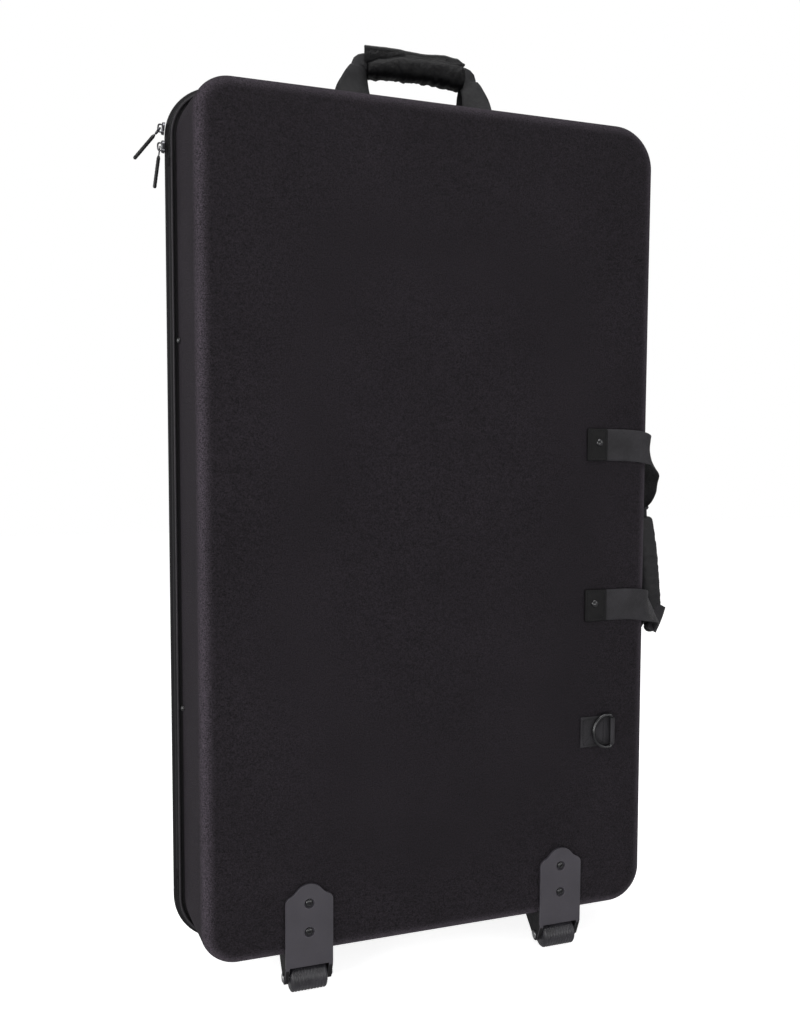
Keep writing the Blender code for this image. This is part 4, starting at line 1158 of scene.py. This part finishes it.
def top_wrap():
    """Padded roll with the seam allowance standing on it as a fin that ends in piping."""
    bottoms = ((-1, 0.5175), (-0.4, 0.5200), (0.3, 0.5205), (1, 0.5175))
    ridges = ((-1, 0.5345), (-0.75, 0.5400), (-0.3, 0.5460), (0.4, 0.5475), (1, 0.5455))
    crests = ((-1, 0.5535), (-0.5, 0.5545), (0.1, 0.5540), (0.6, 0.5560), (0.88, 0.5540), (1, 0.5490))
    rows = []
    count, around, bead_r = 84, 40, 0.0017
    for i in range(count + 1):
        t = -1 + 2 * i / count
        end = (1 - abs(t) ** 16) ** 0.5
        low, high, crest = (along(values, t) for values in (bottoms, ridges, crests))
        middle, half = (low + high) / 2, (high - low) / 2
        x = t * TOP_GRIP_HALF
        sway = 0.0016 * sin(3.1 * t + 0.6)
        row = []
        for j in range(around + 1):
            a = radians(106 + 328 * j / around)
            u, v = bulge(cos(a), 0.82), bulge(sin(a), 0.82)
            crease = noise.noise(Vector((t * 11, cos(a) * 0.9, sin(a) * 0.9 + 7)))
            fine = noise.noise(Vector((t * 31, cos(a) * 1.7 + 4, sin(a) * 1.7)))
            low_side = max(0.0, 0.35 - v)
            size = (0.86 + 0.14 * end) * (1 + 0.07 * crease * low_side + 0.035 * fine * low_side)
            row.append(Vector((x, -0.0010 + 0.0138 * u * size, middle + half * v * size)))
        lean = -0.0030 + sway
        crease = 0.0010 * noise.noise(Vector((t * 7, 3.3, 1.1)))
        back_fin = [(0.0022, high + 0.0015), (0.0016, (high + crest) / 2), (0.0011, crest - 2 * bead_r)]
        bead = arc(0, crest - bead_r, bead_r, -40, 219, 7)
        front_fin = [(-0.0011, crest - 2 * bead_r), (-0.0016, (high + crest) / 2), (-0.0024, high + 0.0015)]
        ear = 0.0028 * max(0.0, abs(t) - 0.9) / 0.1 * (1 if t > 0 else -1)
        for y, z in back_fin + bead + front_fin:
            row.append(Vector((x + ear, y + lean + crease, z)))
        rows.append(row)
    made = piece("top_grip_wrap", *loft(rows), TOP_GRIP, "top_handle_front", sharp=60)
    made.data.materials.append(BINDING)
    per_row = len(rows[0])
    first = around + 1 + 3
    for polygon in made.data.polygons:
        if polygon.index < per_row * count and first <= polygon.index % per_row < first + 8:
            polygon.material_index = 1
    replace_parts(made, "top_grip")
    runs = []
    for t in (-0.90, 0.90):
        low, high = along(bottoms, t), along(ridges, t)
        middle, half = (low + high) / 2, (high - low) / 2
        run = []
        for degrees in range(115, 271, 12):
            y, z = cos(radians(degrees)), sin(radians(degrees))
            spot = Vector((t * TOP_GRIP_HALF, -0.0010 + 0.0139 * y, middle + half * z))
            run.append((spot, Vector((0, y, z))))
        runs.append(run)
    seam = stitches("top_grip_seam", runs, "top_handle_front")


top_wrap()


# ---- D-rings -------------------------------------------------------------------------------------
D_BAR_X = 0.2152
RING_TAB_X = 0.1757
D_WIRE = 0.002
D_HALF = 0.0196
D_REACH = 0.0235


def d_ring(half, side, depth, z, body):
    """Webbing tab folded round the straight bar of a D-ring that lies on it."""
    face = depth + GAP
    mid = face + WEB_T / 2
    bar_y = mid + WEB_T / 2 + GAP + D_WIRE
    turn_r = D_WIRE + GAP + WEB_T / 2
    path = [(RING_TAB_X + run, mid) for run in (0, 0.0105, 0.0205, 0.0305)] + [(D_BAR_X, mid)]
    path += arc(D_BAR_X, bar_y, turn_r, -72, 132, 12)
    stations = []
    for x, y in path:
        width = 0.0365 if x < D_BAR_X - 0.007 and y < bar_y else 0.0325
        stations.append(((x, side * (y + 0.7 * crown(x, z)), z), (0, 0, 1), width))
    made = strap(f"ring_tab_{half}", stations, WEBBING, steps=2, body=body)
    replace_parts(made, f"d_ring_tab_{half}")
    patch_seam(f"ring_tab_seam_{half}", RING_TAB_X, RING_TAB_X + 0.033, z - 0.01825, z + 0.01825, side * face,
               side, body, WEB_T * 1.02, inset=0.0030)

    route = [(0, v) for v in np.linspace(-D_HALF + 0.0030, D_HALF - 0.0030, 9)]
    route += arc(-0.0030, D_HALF - 0.0030, 0.0030, 0, 60, 3)[1:]
    for k in range(2, 33):
        a = pi * k / 34
        route.append((-0.0030 - (D_REACH - 0.0030) * sin(a) ** 0.85, D_HALF * cos(a)))
    route += arc(-0.0030, -D_HALF + 0.0030, 0.0030, 300, 360, 3)[:-1]
    rows = []
    for i, (u, v) in enumerate(route):
        before, after = route[i - 1], route[(i + 1) % len(route)]
        way = Vector((after[0] - before[0], 0, after[1] - before[1])).normalized()
        middle = Vector((D_BAR_X + u, side * bar_y, z + v))
        rows.append(circle(middle, way.cross(Y), Y, D_WIRE, 16))
    skin = loft(rows, round_columns=True)
    made = piece(f"ring_wire_{half}", *skin, BLACK_METAL, f"d_ring_{half}", sharp=60)
    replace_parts(made, f"d_ring_{half}")


d_ring("front", -1, FRONT_D, -0.2473, "case_base")
d_ring("back", 1, BACK_D, 0.2473, "lid")


# ---- retaining straps and wall rivets ------------------------------------------------------------
WALL_RIVET_Y, WALL_RIVET_Z = 0.0156, 0.2045
LINING_IN = WALL + 0.001 + 0.0025
for where, z in (("upper", WALL_RIVET_Z), ("lower", -WALL_RIVET_Z)):
    stations = []
    for depth, extra in ((0.030, 0), (0.022, 0), (0.0125, 0), (0.0100, 0.0025)):
        inset = wall_inset(depth) + LINING_IN + GAP + WEB_T / 2 + extra
        stations.append(((-HALF_W + inset, -depth, z), (0, 0, 1), 0.025))
    for x, depth in ((-0.240, 0.0110), (-0.120, 0.0150), (0.0, 0.0165)):
        stations.append(((x, -depth, z), (0, 0, 1), 0.025))
    stations += [((-p[0], p[1], p[2]), a, w) for p, a, w in reversed(stations[:-1])]
    made = strap("holding_strap_" + where, stations, WEBBING, body="case_base")
    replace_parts(made, "retaining_strap_" + where)
    for label, s in (("left", -1), ("right", 1)):
        foot = (s * (HALF_W - wall_inset(WALL_RIVET_Y) + 2 * GAP), -WALL_RIVET_Y, z)
        made = rivet(f"strap_rivet_{label}_{where}", foot, (s, 0, 0), LINING_IN + WEB_T + 0.001, "case_base",
                     0.0035)
        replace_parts(made, f"wall_rivet_{label}_{where}")


# ---- floor, lights, camera -----------------------------------------------------------------------
def studio():
    """White surroundings and a floor that passes for paper."""
    world = bpy.data.worlds.new("studio")
    bpy.context.scene.world = world
    world.use_nodes = True
    nodes, links = world.node_tree.nodes, world.node_tree.links
    background = nodes["Background"]
    background.inputs["Color"].default_value = (1, 1, 1, 1)
    seen = nodes.new("ShaderNodeLightPath")
    strength = nodes.new("ShaderNodeMapRange")
    strength.inputs["To Min"].default_value = 0.26
    strength.inputs["To Max"].default_value = 1.0
    links.new(seen.outputs["Is Camera Ray"], strength.inputs["Value"])
    links.new(strength.outputs["Result"], background.inputs["Strength"])

    mesh = bpy.data.meshes.new("floor")
    mesh.from_pydata([(-6, -6, 0), (6, -6, 0), (6, 6, 0), (-6, 6, 0)], [], [(0, 1, 2, 3)])
    floor = bpy.data.objects.new("floor", mesh)
    bpy.context.scene.collection.objects.link(floor)
    floor.visible_glossy = False
    paper = Finish("paper", (0.86, 0.86, 0.86), 0.9)
    paper.shader.inputs["Emission Color"].default_value = (1, 1, 1, 1)
    paper.shader.inputs["Emission Strength"].default_value = 0.84
    paper.shade(paper.noise(3, 2.0), 0.99, 1.01)
    mesh.materials.append(paper.material)


def area_light(name, place, target, power, size):
    light = bpy.data.lights.new(name, "AREA")
    light.energy = power
    light.shape = "RECTANGLE"
    light.size, light.size_y = size
    made = bpy.data.objects.new(name, light)
    made.location = place
    made.rotation_mode = "QUATERNION"
    made.rotation_quaternion = (Vector(target) - Vector(place)).to_track_quat("-Z", "Y")
    bpy.context.scene.collection.objects.link(made)


def camera():
    data = bpy.data.cameras.new("camera")
    data.lens = 31.64
    data.sensor_width = 36
    made = bpy.data.objects.new("camera", data)
    turn = Matrix.Rotation(radians(-17.77), 4, "Z") @ Matrix.Rotation(radians(90 - 3.49), 4, "X")
    made.matrix_world = (Matrix.Translation((-0.36255, -1.01915, 0.58484)) @ turn
                         @ Matrix.Rotation(radians(0.196), 4, "Z"))
    bpy.context.scene.collection.objects.link(made)
    bpy.context.scene.camera = made


studio()
area_light("key", (-1.2, -2.2, 2.2), (0, 0, 0.5), 3.5, (1.6, 1.6))
area_light("side", (-2.2, 0.15, 0.8), (0, 0, 0.4), 20, (1.0, 2.0))
area_light("edge", (-1.9, -1.4, 0.7), (0, 0, 0.5), 19, (0.6, 1.6))
area_light("fill", (2.0, -2.0, 1.2), (0, 0, 0.5), 11, (1.6, 1.6))
area_light("top", (0.0, -0.3, 2.6), (0, 0, 0.6), 14, (1.6, 1.0))
area_light("brow", (0.1, -0.95, 1.95), (0, 0, 0.85), 8.5, (1.4, 0.4))
area_light("low", (0.1, -1.3, 0.12), (0, 0, 0.2), 4.5, (1.4, 0.3))
camera()
bpy.context.scene.view_settings.view_transform = "Standard"
